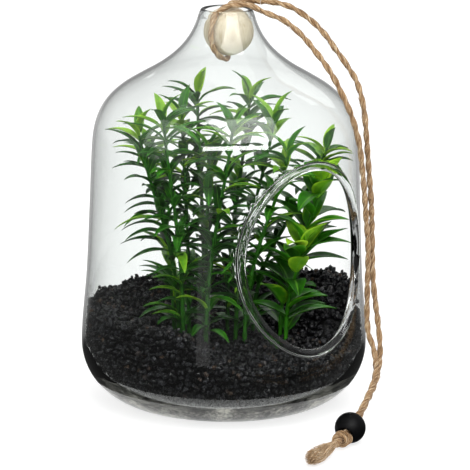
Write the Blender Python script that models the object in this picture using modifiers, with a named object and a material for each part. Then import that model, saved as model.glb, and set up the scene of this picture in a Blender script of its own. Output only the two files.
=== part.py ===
"""Hanging terrarium: a glass bottle with an oval side opening, planted with artificial leafy stems in
black gravel. A wooden ball wedged in its neck carries it on a doubled jute rope, whose two strands run
over the rim and down the outside, through a black bead, to a knot with a frayed tail.

Frame: metres, +Z up, origin at the centre of the base on the surface. The opening faces -Y.
"""

import math
import random

import bmesh
import bpy
from mathutils import Vector
from mathutils.bvhtree import BVHTree
from mathutils.geometry import interpolate_bezier

# Clearance between pieces that touch
GAP = 0.0003

# Glass bottle: (radius, height) of its outer side, from the flat base up to the rolled rim
BASE_FLAT_RADIUS = 0.056
CORNER_WIDTH = 0.0395
CORNER_HEIGHT = 0.040
CORNER_STEPS = 4
WALL = [(0.0920, 0.090), (0.0900, 0.136), (0.0888, 0.168)]
SHOULDER_CURVE = [(0.0888, 0.168), (0.0883, 0.197), (0.0790, 0.2078), (0.0580, 0.2193)]
NECK_CURVE = [(0.0580, 0.2193), (0.0300, 0.2340), (0.0225, 0.2460), (0.0180, 0.2620)]
RIM_ROLL_RADIUS = 0.0014
RIM_RADIUS = 0.0159
RIM_HEIGHT = 0.2631
WALL_THICKNESS = 0.0020
NECK_THICKNESS = 0.0017
FLOOR_THICKNESS = 0.008
FLOOR_RADIUS = 0.060
FLOOR_CORNER_HEIGHT = 0.035
TURNED_STEPS = 36

# Side opening: half width and half height of the middle of its thick polished lip
OPENING_HEIGHT = 0.112
LIP_HALF_WIDTH = 0.0496
LIP_HALF_HEIGHT = 0.0612
LIP_RADIUS = 0.0030
LIP_POINTS = 36

# Rope, and the two ways that it leaves the wooden ball: down its -X side, and off over the rim
ROPE_RADIUS = 0.0020
ROPE_SPACING = 0.0115
BALL_ROPE_SPACING = 0.0035
DOWN_SIDE = Vector((-0.975, -0.222, 0.0))
RIM_SIDE = Vector((0.766, -0.643, 0.0))

# Wooden ball, pushed aside in the neck by the rope that runs down its outside
BALL_RADIUS = 0.0166
BALL_BORE_RADIUS = 0.0028
BORE_SIDES = 16
BALL_CENTRE = Vector((0.0, 0.0, 0.2490)) - DOWN_SIDE * 0.0024

# Where the rope crosses the rim and the ball's front, on its way to the ball's -X side
OVER_BALL = [
    (0.0140, -0.0176, 0.2640),
    (0.0124, -0.0156, 0.2652),
    (0.0092, -0.0136, 0.2672),
    (0.0054, -0.0105, 0.2676),
    (0.0002, -0.0074, 0.2677),
    (-0.0064, -0.0046, 0.2658),
]
OFF_BALL = [
    (0.0115, -0.0077, 0.2692),
    (0.0181, -0.0128, 0.2688),
]

# Where the two strands hang down the outside and come forward along the surface to the bead
INNER_STRAND = [
    (0.0140, -0.0176, 0.2640),
    (0.0165, -0.0204, 0.2625),
    (0.0231, -0.0299, 0.2584),
    (0.0272, -0.0372, 0.2531),
    (0.0308, -0.0442, 0.2464),
    (0.0336, -0.0491, 0.2401),
    (0.0357, -0.0547, 0.2341),
    (0.0372, -0.0600, 0.2280),
    (0.0383, -0.0648, 0.2220),
    (0.0397, -0.0692, 0.2146),
    (0.0412, -0.0737, 0.2065),
    (0.0436, -0.0771, 0.1967),
    (0.0464, -0.0783, 0.1866),
    (0.0494, -0.0782, 0.1762),
    (0.0532, -0.0787, 0.1490),
    (0.0551, -0.0792, 0.1285),
    (0.0565, -0.0801, 0.1082),
    (0.0550, -0.0816, 0.0794),
    (0.0518, -0.0866, 0.0550),
    (0.0489, -0.0959, 0.0445),
    (0.0406, -0.1071, 0.0349),
    (0.0310, -0.1148, 0.0288),
    (0.0193, -0.1219, 0.0231),
    (0.0096, -0.1268, 0.0177),
]
OUTER_STRAND = [
    (0.0181, -0.0128, 0.2688),
    (0.0217, -0.0157, 0.2688),
    (0.0271, -0.0207, 0.2680),
    (0.0323, -0.0273, 0.2657),
    (0.0369, -0.0349, 0.2611),
    (0.0411, -0.0423, 0.2550),
    (0.0447, -0.0492, 0.2476),
    (0.0473, -0.0553, 0.2396),
    (0.0500, -0.0603, 0.2327),
    (0.0518, -0.0643, 0.2271),
    (0.0535, -0.0684, 0.2208),
    (0.0543, -0.0717, 0.2133),
    (0.0551, -0.0750, 0.2017),
    (0.0556, -0.0767, 0.1886),
    (0.0576, -0.0771, 0.1683),
    (0.0609, -0.0772, 0.1409),
    (0.0618, -0.0780, 0.1138),
    (0.0613, -0.0802, 0.0884),
    (0.0604, -0.0846, 0.0696),
    (0.0584, -0.0898, 0.0557),
    (0.0542, -0.0961, 0.0430),
    (0.0440, -0.1053, 0.0318),
    (0.0330, -0.1128, 0.0252),
    (0.0210, -0.1196, 0.0194),
    (0.0113, -0.1246, 0.0138),
]

# Bead, knot and frayed tail at the rope's end
BEAD_RADIUS = 0.010
BEAD_BORE_RADIUS = 0.0046
BEAD_CENTRE = Vector((-0.0042, -0.1320, 0.0100))
BEAD_AXIS = Vector((-0.86, -0.40, -0.32)).normalized()
STRAND_OFFSET = 0.00215
OUTER_STRAND_SIDE = Vector((0.37, 0.44, -0.82))
STRAND_END = 0.0100
KNOT_CENTRE = Vector((-0.0198, -0.1392, 0.0062))
KNOT_HALF_LENGTH = 0.0072
KNOT_RADIUS = 0.0054
TAIL_LENGTH = 0.038
TAIL_ROOT_RADIUS = 0.0024
TAIL_END_RADIUS = 0.0048

# Gravel bed: a dish, low at the opening and high against the other walls, with a mound on the +X side
GRAVEL_LEVEL = 0.042
GRAVEL_RISE = 0.022
GRAVEL_RISE_START = 0.030
GRAVEL_RISE_END = 0.086
OPENING_LOW_ANGLE = math.radians(33)
OPENING_HIGH_ANGLE = math.radians(62)
MOUND_PLACE = (0.085, -0.019)
MOUND_SPREAD = 0.036
MOUND_HEIGHT = 0.012

# Heaps and hollows all over the gravel, as poured: neighbouring heaps are 17 mm apart
HEAP_HEIGHT = 0.0012
HEAP_SPACING = 0.017
SLANTED_HEAP_SHARE = 0.6
GRAVEL_RINGS = 9
GRAVEL_STEPS = 48
GRAVEL_CLEAR = 0.0005
STEM_HOLE_SIDES = 6

# Leafy stems, each upright in its own hole in the gravel
STEM_RADIUS = 0.0015
STEM_DEPTH = 0.026
STEM_SIDES_RESOLUTION = 1
LEAF_SEED = 11
LEAF_TRIES = 14
GOLDEN_ANGLE = math.radians(137.5)
BLADE_STATIONS = (0.0, 0.30, 0.66)
LEAF_FOLD = 0.35
LEAF_ROOT_OFFSET = 0.0004
LEAF_CLEAR = 0.0014
LEAF_FRONT_LIMIT = -0.0715
NARROW_LEAF = {
    "kind": "narrow", "length": 0.030, "width": 0.0062, "thickness": 0.0010, "droop": 0.95,
    "nodes": 5, "per_node": 2, "first": 0.30, "rosette": 5,
}
BROAD_LEAF = {
    "kind": "broad", "length": 0.030, "width": 0.0110, "thickness": 0.0011, "droop": 0.75,
    "nodes": 4, "per_node": 2, "first": 0.26, "rosette": 4,
}
# Name, foot (x, y), tip (x, y, z) and kind of leaf
STEMS = [
    ("leafy_stem_01", (-0.029, 0.012), (-0.053, 0.026, 0.185), NARROW_LEAF),
    ("leafy_stem_02", (-0.032, 0.004), (-0.048, 0.006, 0.196), NARROW_LEAF),
    ("leafy_stem_03", (-0.018, 0.015), (-0.017, 0.025, 0.193), NARROW_LEAF),
    ("leafy_stem_04", (-0.022, 0.026), (-0.017, 0.059, 0.162), NARROW_LEAF),
    ("leafy_stem_05", (-0.022, -0.008), (-0.013, -0.023, 0.191), NARROW_LEAF),
    ("leafy_stem_06", (-0.011, 0.006), (-0.011, 0.004, 0.170), NARROW_LEAF),
    ("leafy_stem_07", (0.000, 0.021), (0.001, 0.031, 0.204), NARROW_LEAF),
    ("leafy_stem_08", (0.008, 0.006), (0.021, 0.000, 0.204), NARROW_LEAF),
    ("leafy_stem_09", (0.002, -0.010), (0.022, -0.024, 0.193), NARROW_LEAF),
    ("leafy_stem_10", (-0.002, -0.024), (0.014, -0.048, 0.174), NARROW_LEAF),
    ("leafy_stem_11", (0.020, -0.007), (0.056, -0.039, 0.170), NARROW_LEAF),
    ("leafy_stem_12", (0.026, -0.028), (0.040, -0.052, 0.151), BROAD_LEAF),
    ("leafy_stem_13", (0.024, -0.036), (0.022, -0.054, 0.112), BROAD_LEAF),
]


# Shared helpers


def clear_scene():
    for found in list(bpy.data.objects):
        bpy.data.objects.remove(found)


def new_collection(name, parent):
    made = bpy.data.collections.new(name)
    parent.children.link(made)
    return made


def material(name, colour, roughness, metallic=0.0):
    made = bpy.data.materials.new(name)
    made.use_nodes = True
    surface = made.node_tree.nodes["Principled BSDF"]
    surface.inputs["Base Color"].default_value = (*colour, 1.0)
    surface.inputs["Roughness"].default_value = roughness
    surface.inputs["Metallic"].default_value = metallic
    made.diffuse_color = (*colour, 1.0)
    return made


def add_object(name, data, collection, surface=None):
    made = bpy.data.objects.new(name, data)
    collection.objects.link(made)
    if surface:
        made.data.materials.append(surface)
    return made


def primitive(name, collection):
    """Names the primitive just added and moves it to its collection."""
    made = bpy.context.object
    made.name = name
    for holder in list(made.users_collection):
        holder.objects.unlink(made)
    collection.objects.link(made)
    return made


def turn_to(made, axis):
    """Turns an object so that its own Z lies along the axis."""
    made.rotation_euler = Vector((0, 0, 1)).rotation_difference(axis).to_euler()


def hide_helper(made):
    made.hide_render = True
    made.display_type = "WIRE"


def rounded(made, angle=40):
    made.data.shade_smooth()
    made.data.set_sharp_from_angle(angle=math.radians(angle))


def mesh_from(name, points, faces):
    """A mesh whose faces all point out."""
    shape = bmesh.new()
    corners = [shape.verts.new(point) for point in points]
    for face in faces:
        shape.faces.new([corners[index] for index in face])
    bmesh.ops.recalc_face_normals(shape, faces=shape.faces)
    mesh = bpy.data.meshes.new(name)
    shape.to_mesh(mesh)
    shape.free()
    return mesh


def as_mesh_object(made, collection):
    """Replaces an object by one with its evaluated, welded mesh, which a Boolean can use."""
    bpy.context.view_layer.update()
    graph = bpy.context.evaluated_depsgraph_get()
    mesh = bpy.data.meshes.new_from_object(made.evaluated_get(graph))
    shape = bmesh.new()
    shape.from_mesh(mesh)
    bmesh.ops.remove_doubles(shape, verts=shape.verts, dist=1e-6)
    bmesh.ops.recalc_face_normals(shape, faces=shape.faces)
    shape.to_mesh(mesh)
    shape.free()
    name = made.name
    place = made.matrix_world.copy()
    bpy.data.objects.remove(made)
    replacement = add_object(name, mesh, collection)
    replacement.matrix_world = place
    return replacement


def keep_largest_body(mesh):
    """Fills the small hollows that a union seals, and drops its loose scraps."""
    shape = bmesh.new()
    shape.from_mesh(mesh)
    waiting = set(shape.verts)
    bodies = []
    while waiting:
        body = {waiting.pop()}
        front = list(body)
        while front:
            for edge in front.pop().link_edges:
                for corner in edge.verts:
                    if corner in waiting:
                        waiting.discard(corner)
                        body.add(corner)
                        front.append(corner)
        bodies.append(body)
    largest = max(bodies, key=len)
    spare = [corner for body in bodies if body is not largest for corner in body]
    bmesh.ops.delete(shape, geom=spare, context="VERTS")
    shape.to_mesh(mesh)
    shape.free()


def boolean(target, operation, tool=None, tools=None):
    modifier = target.modifiers.new(operation.lower(), "BOOLEAN")
    modifier.operation = operation
    modifier.solver = "EXACT"
    if tools:
        modifier.operand_type = "COLLECTION"
        modifier.collection = tools
    else:
        modifier.object = tool


def smooth_route(knots, spacing):
    """Points at an even spacing on one smooth curve through the knots."""
    knots = [Vector(knot) for knot in knots]
    line = [knots[0]]
    for index in range(len(knots) - 1):
        start = knots[index]
        end = knots[index + 1]
        before = knots[max(index - 1, 0)]
        after = knots[min(index + 2, len(knots) - 1)]
        reach = (end - start).length / 3
        leave = start + (end - before).normalized() * reach
        arrive = end - (after - start).normalized() * reach
        line += interpolate_bezier(start, leave, arrive, end, 12)[1:]
    travelled = [0.0]
    for first, second in zip(line, line[1:]):
        travelled.append(travelled[-1] + (second - first).length)
    count = max(round(travelled[-1] / spacing), 2)
    points = []
    index = 0
    for step in range(count + 1):
        wanted = travelled[-1] * step / count
        while index < len(line) - 2 and travelled[index + 1] < wanted:
            index += 1
        share = (wanted - travelled[index]) / (travelled[index + 1] - travelled[index])
        points.append(line[index].lerp(line[index + 1], share))
    return points


def tube_curve(name, points, radius, resolution=2, taper=None, cyclic=False):
    """A round tube along the points. The taper is the radius at each point as a share of the first."""
    curve = bpy.data.curves.new(name, "CURVE")
    curve.dimensions = "3D"
    curve.bevel_depth = radius
    curve.bevel_resolution = resolution
    curve.use_fill_caps = not cyclic
    spline = curve.splines.new("POLY")
    spline.points.add(len(points) - 1)
    spline.use_cyclic_u = cyclic
    for index, point in enumerate(points):
        spline.points[index].co = (*point, 1.0)
        spline.points[index].radius = taper[index] if taper else 1.0
    return curve


# Glass bottle


def outer_outline():
    """(radius, height) of the glass from the rim down its outer side to the base."""
    corner = []
    for step in range(CORNER_STEPS + 1):
        turn = math.radians(90) * (1 - step / CORNER_STEPS)
        radius = BASE_FLAT_RADIUS + CORNER_WIDTH * math.sin(turn)
        corner.append((radius, CORNER_HEIGHT * (1 - math.cos(turn))))
    shoulder = interpolate_bezier(*[Vector((*point, 0)) for point in SHOULDER_CURVE], 6)
    neck = interpolate_bezier(*[Vector((*point, 0)) for point in NECK_CURVE], 7)
    upper = [(point.x, point.y) for point in shoulder + neck[1:]]
    return upper[::-1] + WALL[-2::-1] + corner


def inner_outline():
    """(radius, height) of the glass's inner side from the floor up to the rim."""
    outline = outer_outline()[::-1]
    widest = BASE_FLAT_RADIUS + CORNER_WIDTH - WALL_THICKNESS
    floor_corner = []
    for step in range(CORNER_STEPS + 1):
        turn = math.radians(90) * step / CORNER_STEPS
        radius = FLOOR_RADIUS + (widest - FLOOR_RADIUS) * math.sin(turn)
        floor_corner.append((radius, FLOOR_THICKNESS + FLOOR_CORNER_HEIGHT * (1 - math.cos(turn))))
    upper = []
    for index in range(CORNER_STEPS + 1, len(outline)):
        before = outline[index - 1]
        here = outline[index]
        after = outline[min(index + 1, len(outline) - 1)]
        run = after[0] - before[0]
        climb = after[1] - before[1]
        size = math.hypot(run, climb)
        share = (here[1] - WALL[-1][1]) / (RIM_HEIGHT - WALL[-1][1])
        thickness = WALL_THICKNESS + (NECK_THICKNESS - WALL_THICKNESS) * min(max(share, 0), 1)
        upper.append((here[0] - thickness * climb / size, here[1] + thickness * run / size))
    return floor_corner + upper


def radius_at(outline, height):
    """The outline's radius at a height, by straight stretches between its points."""
    points = sorted(outline, key=lambda point: point[1])
    for (first_r, first_z), (second_r, second_z) in zip(points, points[1:]):
        if first_z <= height <= second_z and second_z > first_z:
            return first_r + (second_r - first_r) * (height - first_z) / (second_z - first_z)
    return points[-1][0]


def make_glass(collection, helpers, surface):
    rim = []
    for step in range(5):
        turn = math.radians(180 - 45 * step)
        radius = RIM_RADIUS + RIM_ROLL_RADIUS * math.cos(turn)
        rim.append((radius, RIM_HEIGHT + RIM_ROLL_RADIUS * math.sin(turn)))
    profile = [(0.0, FLOOR_THICKNESS)] + inner_outline()[:-1] + rim + outer_outline() + [(0.0, 0.0)]
    mesh = bpy.data.meshes.new("glass_outline")
    edges = [(index, index + 1) for index in range(len(profile) - 1)]
    mesh.from_pydata([(radius, 0.0, height) for radius, height in profile], edges, [])
    bottle = add_object("glass_bottle", mesh, collection)
    screw = bottle.modifiers.new("turned", "SCREW")
    screw.steps = TURNED_STEPS
    screw.render_steps = TURNED_STEPS
    screw.use_merge_vertices = True
    screw.merge_threshold = 1e-5
    bottle = as_mesh_object(bottle, collection)
    bottle.data.materials.append(surface)
    # The opening is cut, and then its lip, melted to a thick round edge, is joined to the cut
    bpy.ops.mesh.primitive_cylinder_add(vertices=LIP_POINTS, radius=1, depth=0.08)
    cutter = primitive("opening_cutter", helpers)
    cutter.location = (0, -0.09, OPENING_HEIGHT)
    cutter.rotation_euler = (math.radians(90), 0, 0)
    cutter.scale = (LIP_HALF_WIDTH, LIP_HALF_HEIGHT, 1)
    hide_helper(cutter)
    boolean(bottle, "DIFFERENCE", cutter)
    outer = outer_outline()
    ring = []
    for step in range(LIP_POINTS):
        turn = 2 * math.pi * (step + 0.5) / LIP_POINTS
        x = LIP_HALF_WIDTH * math.cos(turn)
        z = OPENING_HEIGHT + LIP_HALF_HEIGHT * math.sin(turn)
        middle_radius = radius_at(outer, z) - WALL_THICKNESS / 2
        ring.append(Vector((x, -math.sqrt(middle_radius**2 - x * x), z)))
    lip = add_object("lip_ring", tube_curve("lip_ring", ring, LIP_RADIUS, 2, cyclic=True), helpers)
    lip = as_mesh_object(lip, helpers)
    hide_helper(lip)
    boolean(bottle, "UNION", lip)
    rounded(bottle)


# Wooden ball and bead


def bored_ball(name, radius, bore_radius, centre, axis, sides, collection, helpers, surface):
    """A turned ball with a straight bore along the axis."""
    bpy.ops.mesh.primitive_uv_sphere_add(segments=sides, ring_count=sides // 2, radius=radius)
    ball = primitive(name, collection)
    ball.location = centre
    turn_to(ball, axis)
    ball.data.materials.append(surface)
    bpy.ops.mesh.primitive_cylinder_add(vertices=BORE_SIDES, radius=bore_radius, depth=3 * radius)
    bore = primitive(name + "_bore", helpers)
    bore.location = centre
    turn_to(bore, axis)
    hide_helper(bore)
    boolean(ball, "DIFFERENCE", bore)
    rounded(ball)


# Rope, knot and tail


def ball_rope_route():
    """Over the rim and the ball's front, down its -X side, under it, up its bore and back over the rim."""
    up = Vector((0, 0, 1))
    run = BALL_RADIUS + ROPE_RADIUS + GAP
    bend = ROPE_RADIUS + 3 * GAP
    route = [Vector(point) for point in OVER_BALL]
    for turn in (40, 20, 0, -20, -45, -68):
        angle = math.radians(turn)
        route.append(BALL_CENTRE + DOWN_SIDE * run * math.cos(angle) + up * run * math.sin(angle))
    for turn in (-90, -135, -180):
        angle = math.radians(turn)
        middle = BALL_CENTRE + DOWN_SIDE * bend + up * (bend - run)
        route.append(middle + DOWN_SIDE * bend * math.cos(angle) + up * bend * math.sin(angle))
    route.append(BALL_CENTRE.copy())
    for turn in (180, 135, 90):
        angle = math.radians(turn)
        middle = BALL_CENTRE + RIM_SIDE * bend + up * (run - bend)
        route.append(middle + RIM_SIDE * bend * math.cos(angle) + up * bend * math.sin(angle))
    return route + [Vector(point) for point in OFF_BALL]


def strand_route(knots, side):
    """A strand's own route: from just past the rope on the ball to its place in the bead's bore."""
    across = OUTER_STRAND_SIDE - BEAD_AXIS * OUTER_STRAND_SIDE.dot(BEAD_AXIS)
    across = across.normalized() * STRAND_OFFSET * side
    knots = [Vector(knot) for knot in knots]
    knots[0] += (knots[1] - knots[0]).normalized() * GAP
    for travel in (-0.6 * BEAD_RADIUS, 0.2 * BEAD_RADIUS, STRAND_END):
        knots.append(BEAD_CENTRE + BEAD_AXIS * travel + across)
    return smooth_route(knots, ROPE_SPACING)


def make_rope(collection, surface):
    routes = {
        "rope_through_ball": smooth_route(ball_rope_route(), BALL_ROPE_SPACING),
        "rope_strand_inner": strand_route(INNER_STRAND, -1),
        "rope_strand_outer": strand_route(OUTER_STRAND, 1),
    }
    for name, points in routes.items():
        add_object(name, tube_curve(name, points, ROPE_RADIUS), collection, surface)


def make_knot_and_tail(collection, surface):
    """A short fat knot, furrowed by the rope drawn round itself, and the frayed strands past it."""
    axis = Vector((BEAD_AXIS.x, BEAD_AXIS.y, 0)).normalized()
    bpy.ops.mesh.primitive_uv_sphere_add(segments=16, ring_count=10, radius=1)
    knot = primitive("rope_knot", collection)
    for vertex in knot.data.vertices:
        turn = math.atan2(vertex.co.y, vertex.co.x)
        furrow = 1 + 0.10 * math.sin(2 * turn + 4.5 * vertex.co.z)
        vertex.co.x *= KNOT_RADIUS * furrow
        vertex.co.y *= KNOT_RADIUS * furrow
        vertex.co.z *= KNOT_HALF_LENGTH
    knot.location = KNOT_CENTRE
    turn_to(knot, axis)
    knot.data.materials.append(surface)
    rounded(knot)
    start = KNOT_CENTRE + axis * (KNOT_HALF_LENGTH + GAP)
    points = []
    taper = []
    for step in range(7):
        share = step / 6
        radius = TAIL_ROOT_RADIUS + (TAIL_END_RADIUS - TAIL_ROOT_RADIUS) * share
        drop = (start.z - TAIL_END_RADIUS - GAP) * share
        points.append(start + axis * TAIL_LENGTH * share - Vector((0, 0, drop)))
        taper.append(radius / TAIL_ROOT_RADIUS)
    tail = tube_curve("rope_tail", points, TAIL_ROOT_RADIUS, 2, taper)
    add_object("rope_tail", tail, collection, surface)


# Gravel bed


def smooth_step(value, low, high):
    share = min(max((value - low) / (high - low), 0), 1)
    return share * share * (3 - 2 * share)


def gravel_level(x, y):
    """Height of the gravel: a dish with a mound, low along the opening, with heaps all over."""
    side = smooth_step(abs(math.atan2(x, -y)), OPENING_LOW_ANGLE, OPENING_HIGH_ANGLE)
    rise = smooth_step(math.hypot(x, y), GRAVEL_RISE_START, GRAVEL_RISE_END) * side
    from_mound = (x - MOUND_PLACE[0]) ** 2 + (y - MOUND_PLACE[1]) ** 2
    mound = math.exp(-from_mound / MOUND_SPREAD**2) * side
    wave = 2 * math.pi / (math.sqrt(2) * HEAP_SPACING)
    heaps = math.sin(wave * x + 1.3) * math.sin(wave * y + 0.4)
    heaps += SLANTED_HEAP_SHARE * math.sin(wave * (0.7 * x - 0.8 * y) + 2.0)
    return GRAVEL_LEVEL + GRAVEL_RISE * rise + MOUND_HEIGHT * mound + HEAP_HEIGHT * heaps


def make_gravel(collection, helpers, surface):
    inner = inner_outline()
    points = [Vector((0, 0, gravel_level(0, 0)))]
    size = 0
    for step in range(GRAVEL_STEPS):
        turn = 2 * math.pi * step / GRAVEL_STEPS
        across = Vector((math.cos(turn), math.sin(turn)))
        edge_radius = radius_at(inner, GRAVEL_LEVEL + GRAVEL_RISE) - GRAVEL_CLEAR
        edge_height = gravel_level(*(across * edge_radius))
        edge_radius = radius_at(inner, edge_height) - GRAVEL_CLEAR
        column = []
        for ring in range(1, GRAVEL_RINGS + 1):
            radius = edge_radius * ring / GRAVEL_RINGS
            column.append((radius, gravel_level(*(across * radius))))
        for radius, height in inner[::-1]:
            if height < GRAVEL_LEVEL - 4 * GRAVEL_CLEAR:
                column.append((radius - GRAVEL_CLEAR, height + GAP))
        size = len(column)
        points += [Vector((*(across * radius), height)) for radius, height in column]
    points.append(Vector((0, 0, FLOOR_THICKNESS + GAP)))
    faces = []
    for step in range(GRAVEL_STEPS):
        here = 1 + step * size
        there = 1 + (step + 1) % GRAVEL_STEPS * size
        faces.append((0, here, there))
        faces.append((len(points) - 1, there + size - 1, here + size - 1))
        for ring in range(size - 1):
            faces.append((here + ring, here + ring + 1, there + ring + 1, there + ring))
    bed = add_object("gravel_bed", mesh_from("gravel_bed", points, faces), collection, surface)
    holes = new_collection("stem_holes", helpers)
    for name, foot, _, _ in STEMS:
        depth = GRAVEL_LEVEL + GRAVEL_RISE
        wide = STEM_RADIUS + 3 * GAP
        bpy.ops.mesh.primitive_cylinder_add(vertices=STEM_HOLE_SIDES, radius=wide, depth=depth)
        hole = primitive(name + "_hole", holes)
        hole.location = (*foot, stem_foot_height(foot) - GAP + depth / 2)
        hide_helper(hole)
    boolean(bed, "DIFFERENCE", tools=holes)
    rounded(bed, 60)


# Leafy stems


def stem_foot_height(foot):
    return gravel_level(*foot) - STEM_DEPTH


def stem_line(foot, tip):
    """Upright out of the gravel, then leaning over to the tip."""
    start = Vector((*foot, stem_foot_height(foot)))
    leave = Vector((*foot, gravel_level(*foot) + 0.006))
    end = Vector(tip)
    lean = Vector((end.x - leave.x, end.y - leave.y, 0))
    height = Vector((0, 0, end.z - leave.z))
    bend = leave + height * 0.45
    arrive = end - height * 0.30 - lean * 0.22
    return [start] + interpolate_bezier(leave, bend, arrive, end, 7)


def blade(root, azimuth, pitch, leaf, size, grow=0.0):
    """A pointed leaf, folded along its middle and arched over: stations of four corners, then the tip."""
    length = leaf["length"] * size
    outward = Vector((math.cos(azimuth), math.sin(azimuth), 0))
    across = Vector((-math.sin(azimuth), math.cos(azimuth), 0))
    up = Vector((0, 0, 1))
    points = []
    place = root + outward * LEAF_ROOT_OFFSET
    reached = 0.0
    for share in BLADE_STATIONS:
        lean = pitch - leaf["droop"] * (reached + share) / 2
        place = place + (outward * math.cos(lean) + up * math.sin(lean)) * length * (share - reached)
        reached = share
        lean = pitch - leaf["droop"] * share
        normal = up * math.cos(lean) - outward * math.sin(lean)
        spread = max(math.sin(math.pi * share**0.72) ** 0.9, 0.24)
        half_width = leaf["width"] / 2 * spread + grow
        half_thick = leaf["thickness"] / 2 * (1.0 - 0.35 * share) + grow
        fold = normal * half_width * LEAF_FOLD
        points.append(place - across * half_width + fold)
        points.append(place + normal * half_thick)
        points.append(place + across * half_width + fold)
        points.append(place - normal * half_thick)
    lean = pitch - leaf["droop"] * (reached + 1) / 2
    points.append(place + (outward * math.cos(lean) + up * math.sin(lean)) * length * (1 - reached))
    last = len(points) - 5
    faces = [(0, 3, 1), (2, 1, 3)]
    for first in range(0, last, 4):
        for edge in (0, 2):
            for ridge in (1, 3):
                faces.append((first + edge, first + ridge, first + ridge + 4))
                faces.append((first + edge, first + ridge + 4, first + edge + 4))
    for corner in range(4):
        faces.append((last + corner, last + (corner + 1) % 4, last + 4))
    return points, faces


def inside_jar(points, inner):
    for point in points:
        if math.hypot(point.x, point.y) > radius_at(inner, point.z) - LEAF_CLEAR:
            return False
        if point.y < LEAF_FRONT_LIMIT:
            return False
        if point.z < gravel_level(point.x, point.y) + LEAF_CLEAR:
            return False
    return True


def leaf_plan(leaf):
    """(share of the stem, azimuth, pitch, size) of each leaf: pairs up the stem, then a rosette."""
    plan = []
    azimuth = random.uniform(0, 2 * math.pi)
    for node in range(leaf["nodes"]):
        share = leaf["first"] + (0.9 - leaf["first"]) * node / (leaf["nodes"] - 1)
        azimuth += GOLDEN_ANGLE
        for twin in range(leaf["per_node"]):
            azimuth += 2 * math.pi / leaf["per_node"] + random.uniform(-0.2, 0.2)
            pitch = math.radians(random.uniform(36, 62))
            plan.append((share, azimuth, pitch, random.uniform(0.85, 1.1)))
    for order in range(leaf["rosette"]):
        azimuth += GOLDEN_ANGLE
        pitch = math.radians(82 - 58 * order / leaf["rosette"])
        size = 0.72 + 0.38 * order / leaf["rosette"]
        plan.append((0.995 - 0.012 * order, azimuth, pitch, size))
    return plan


def make_stem_tube(name, line, collection):
    taper = [1.0 - 0.3 * index / len(line) for index in range(len(line))]
    curve = tube_curve(name, line, STEM_RADIUS, STEM_SIDES_RESOLUTION, taper)
    return as_mesh_object(add_object(name, curve, collection), collection)


def place_leaves(name, line, leaf, own, others, inner, leaves):
    """Adds each leaf where it is clear of the glass, the gravel, the opening and the other stems."""
    for share, azimuth, pitch, size in leaf_plan(leaf):
        along = share * (len(line) - 1)
        index = min(int(along), len(line) - 2)
        root = line[index].lerp(line[index + 1], along - index)
        for attempt in range(LEAF_TRIES):
            swing = azimuth + attempt * random.uniform(-0.10, 0.10)
            lift = pitch + attempt * random.uniform(-0.02, 0.06)
            length = size * (1 - 0.02 * attempt)
            points, faces = blade(root, swing, lift, leaf, length, grow=GAP)
            tree = BVHTree.FromPolygons(points, faces)
            if inside_jar(points, inner) and not any(tree.overlap(other) for other in others):
                own.append(tree)
                points, faces = blade(root, swing, lift, leaf, length)
                add_object(name + "_leaf", mesh_from(name + "_leaf", points, faces), leaves)
                break


def make_stems(collection, helpers, surfaces):
    inner = inner_outline()
    random.seed(LEAF_SEED)
    tubes = {}
    trees = {}
    for name, foot, tip, leaf in STEMS:
        tubes[name] = make_stem_tube(name, stem_line(foot, tip), collection)
        corners = [vertex.co.copy() for vertex in tubes[name].data.vertices]
        faces = [list(face.vertices) for face in tubes[name].data.polygons]
        trees[name] = [BVHTree.FromPolygons(corners, faces)]
    for name, foot, tip, leaf in STEMS:
        leaves = new_collection(name + "_leaves", helpers)
        others = [tree for other in trees if other != name for tree in trees[other]]
        place_leaves(name, stem_line(foot, tip), leaf, trees[name], others, inner, leaves)
        boolean(tubes[name], "UNION", tools=leaves)
        stem = as_mesh_object(tubes[name], collection)
        keep_largest_body(stem.data)
        for made in list(leaves.objects):
            bpy.data.objects.remove(made)
        bpy.data.collections.remove(leaves)
        stem.data.materials.append(surfaces[leaf["kind"]])
        rounded(stem, 50)


def make_terrarium():
    clear_scene()
    terrarium = new_collection("hanging_terrarium", bpy.context.scene.collection)
    helpers = new_collection("cutters", bpy.context.scene.collection)
    glass = material("clear_glass", (0.86, 0.90, 0.89), 0.05)
    wood = material("pale_wood", (0.78, 0.66, 0.48), 0.55)
    jute = material("jute", (0.44, 0.31, 0.19), 0.9)
    black = material("black_paint", (0.012, 0.012, 0.014), 0.5)
    gravel = material("black_gravel", (0.012, 0.011, 0.011), 0.35)
    greens = {
        "narrow": material("dark_green_plastic", (0.03, 0.16, 0.02), 0.45),
        "broad": material("bright_green_plastic", (0.07, 0.26, 0.02), 0.45),
    }
    up = Vector((0, 0, 1))
    make_glass(terrarium, helpers, glass)
    bored_ball("wooden_ball", BALL_RADIUS, BALL_BORE_RADIUS, BALL_CENTRE, up, 24, terrarium, helpers, wood)
    make_rope(terrarium, jute)
    bored_ball("bead", BEAD_RADIUS, BEAD_BORE_RADIUS, BEAD_CENTRE, BEAD_AXIS, 20, terrarium, helpers, black)
    make_knot_and_tail(terrarium, jute)
    make_gravel(terrarium, helpers, gravel)
    make_stems(terrarium, helpers, greens)


make_terrarium()
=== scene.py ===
"""Looks of the hanging terrarium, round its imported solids: a blown glass bottle with a side opening,
artificial leafy stems in black gravel, a wooden ball wedged in the neck, and a doubled jute rope with a
black bead and a frayed knot. Metres, +Z up. The opening faces -Y.
"""

import random
from math import asin, atan2, cos, exp, hypot, pi, radians, sin, sqrt, tau

import bmesh
import bpy
import numpy as np
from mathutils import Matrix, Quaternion, Vector, noise
from mathutils.bvhtree import BVHTree
from mathutils.geometry import interpolate_bezier


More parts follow.
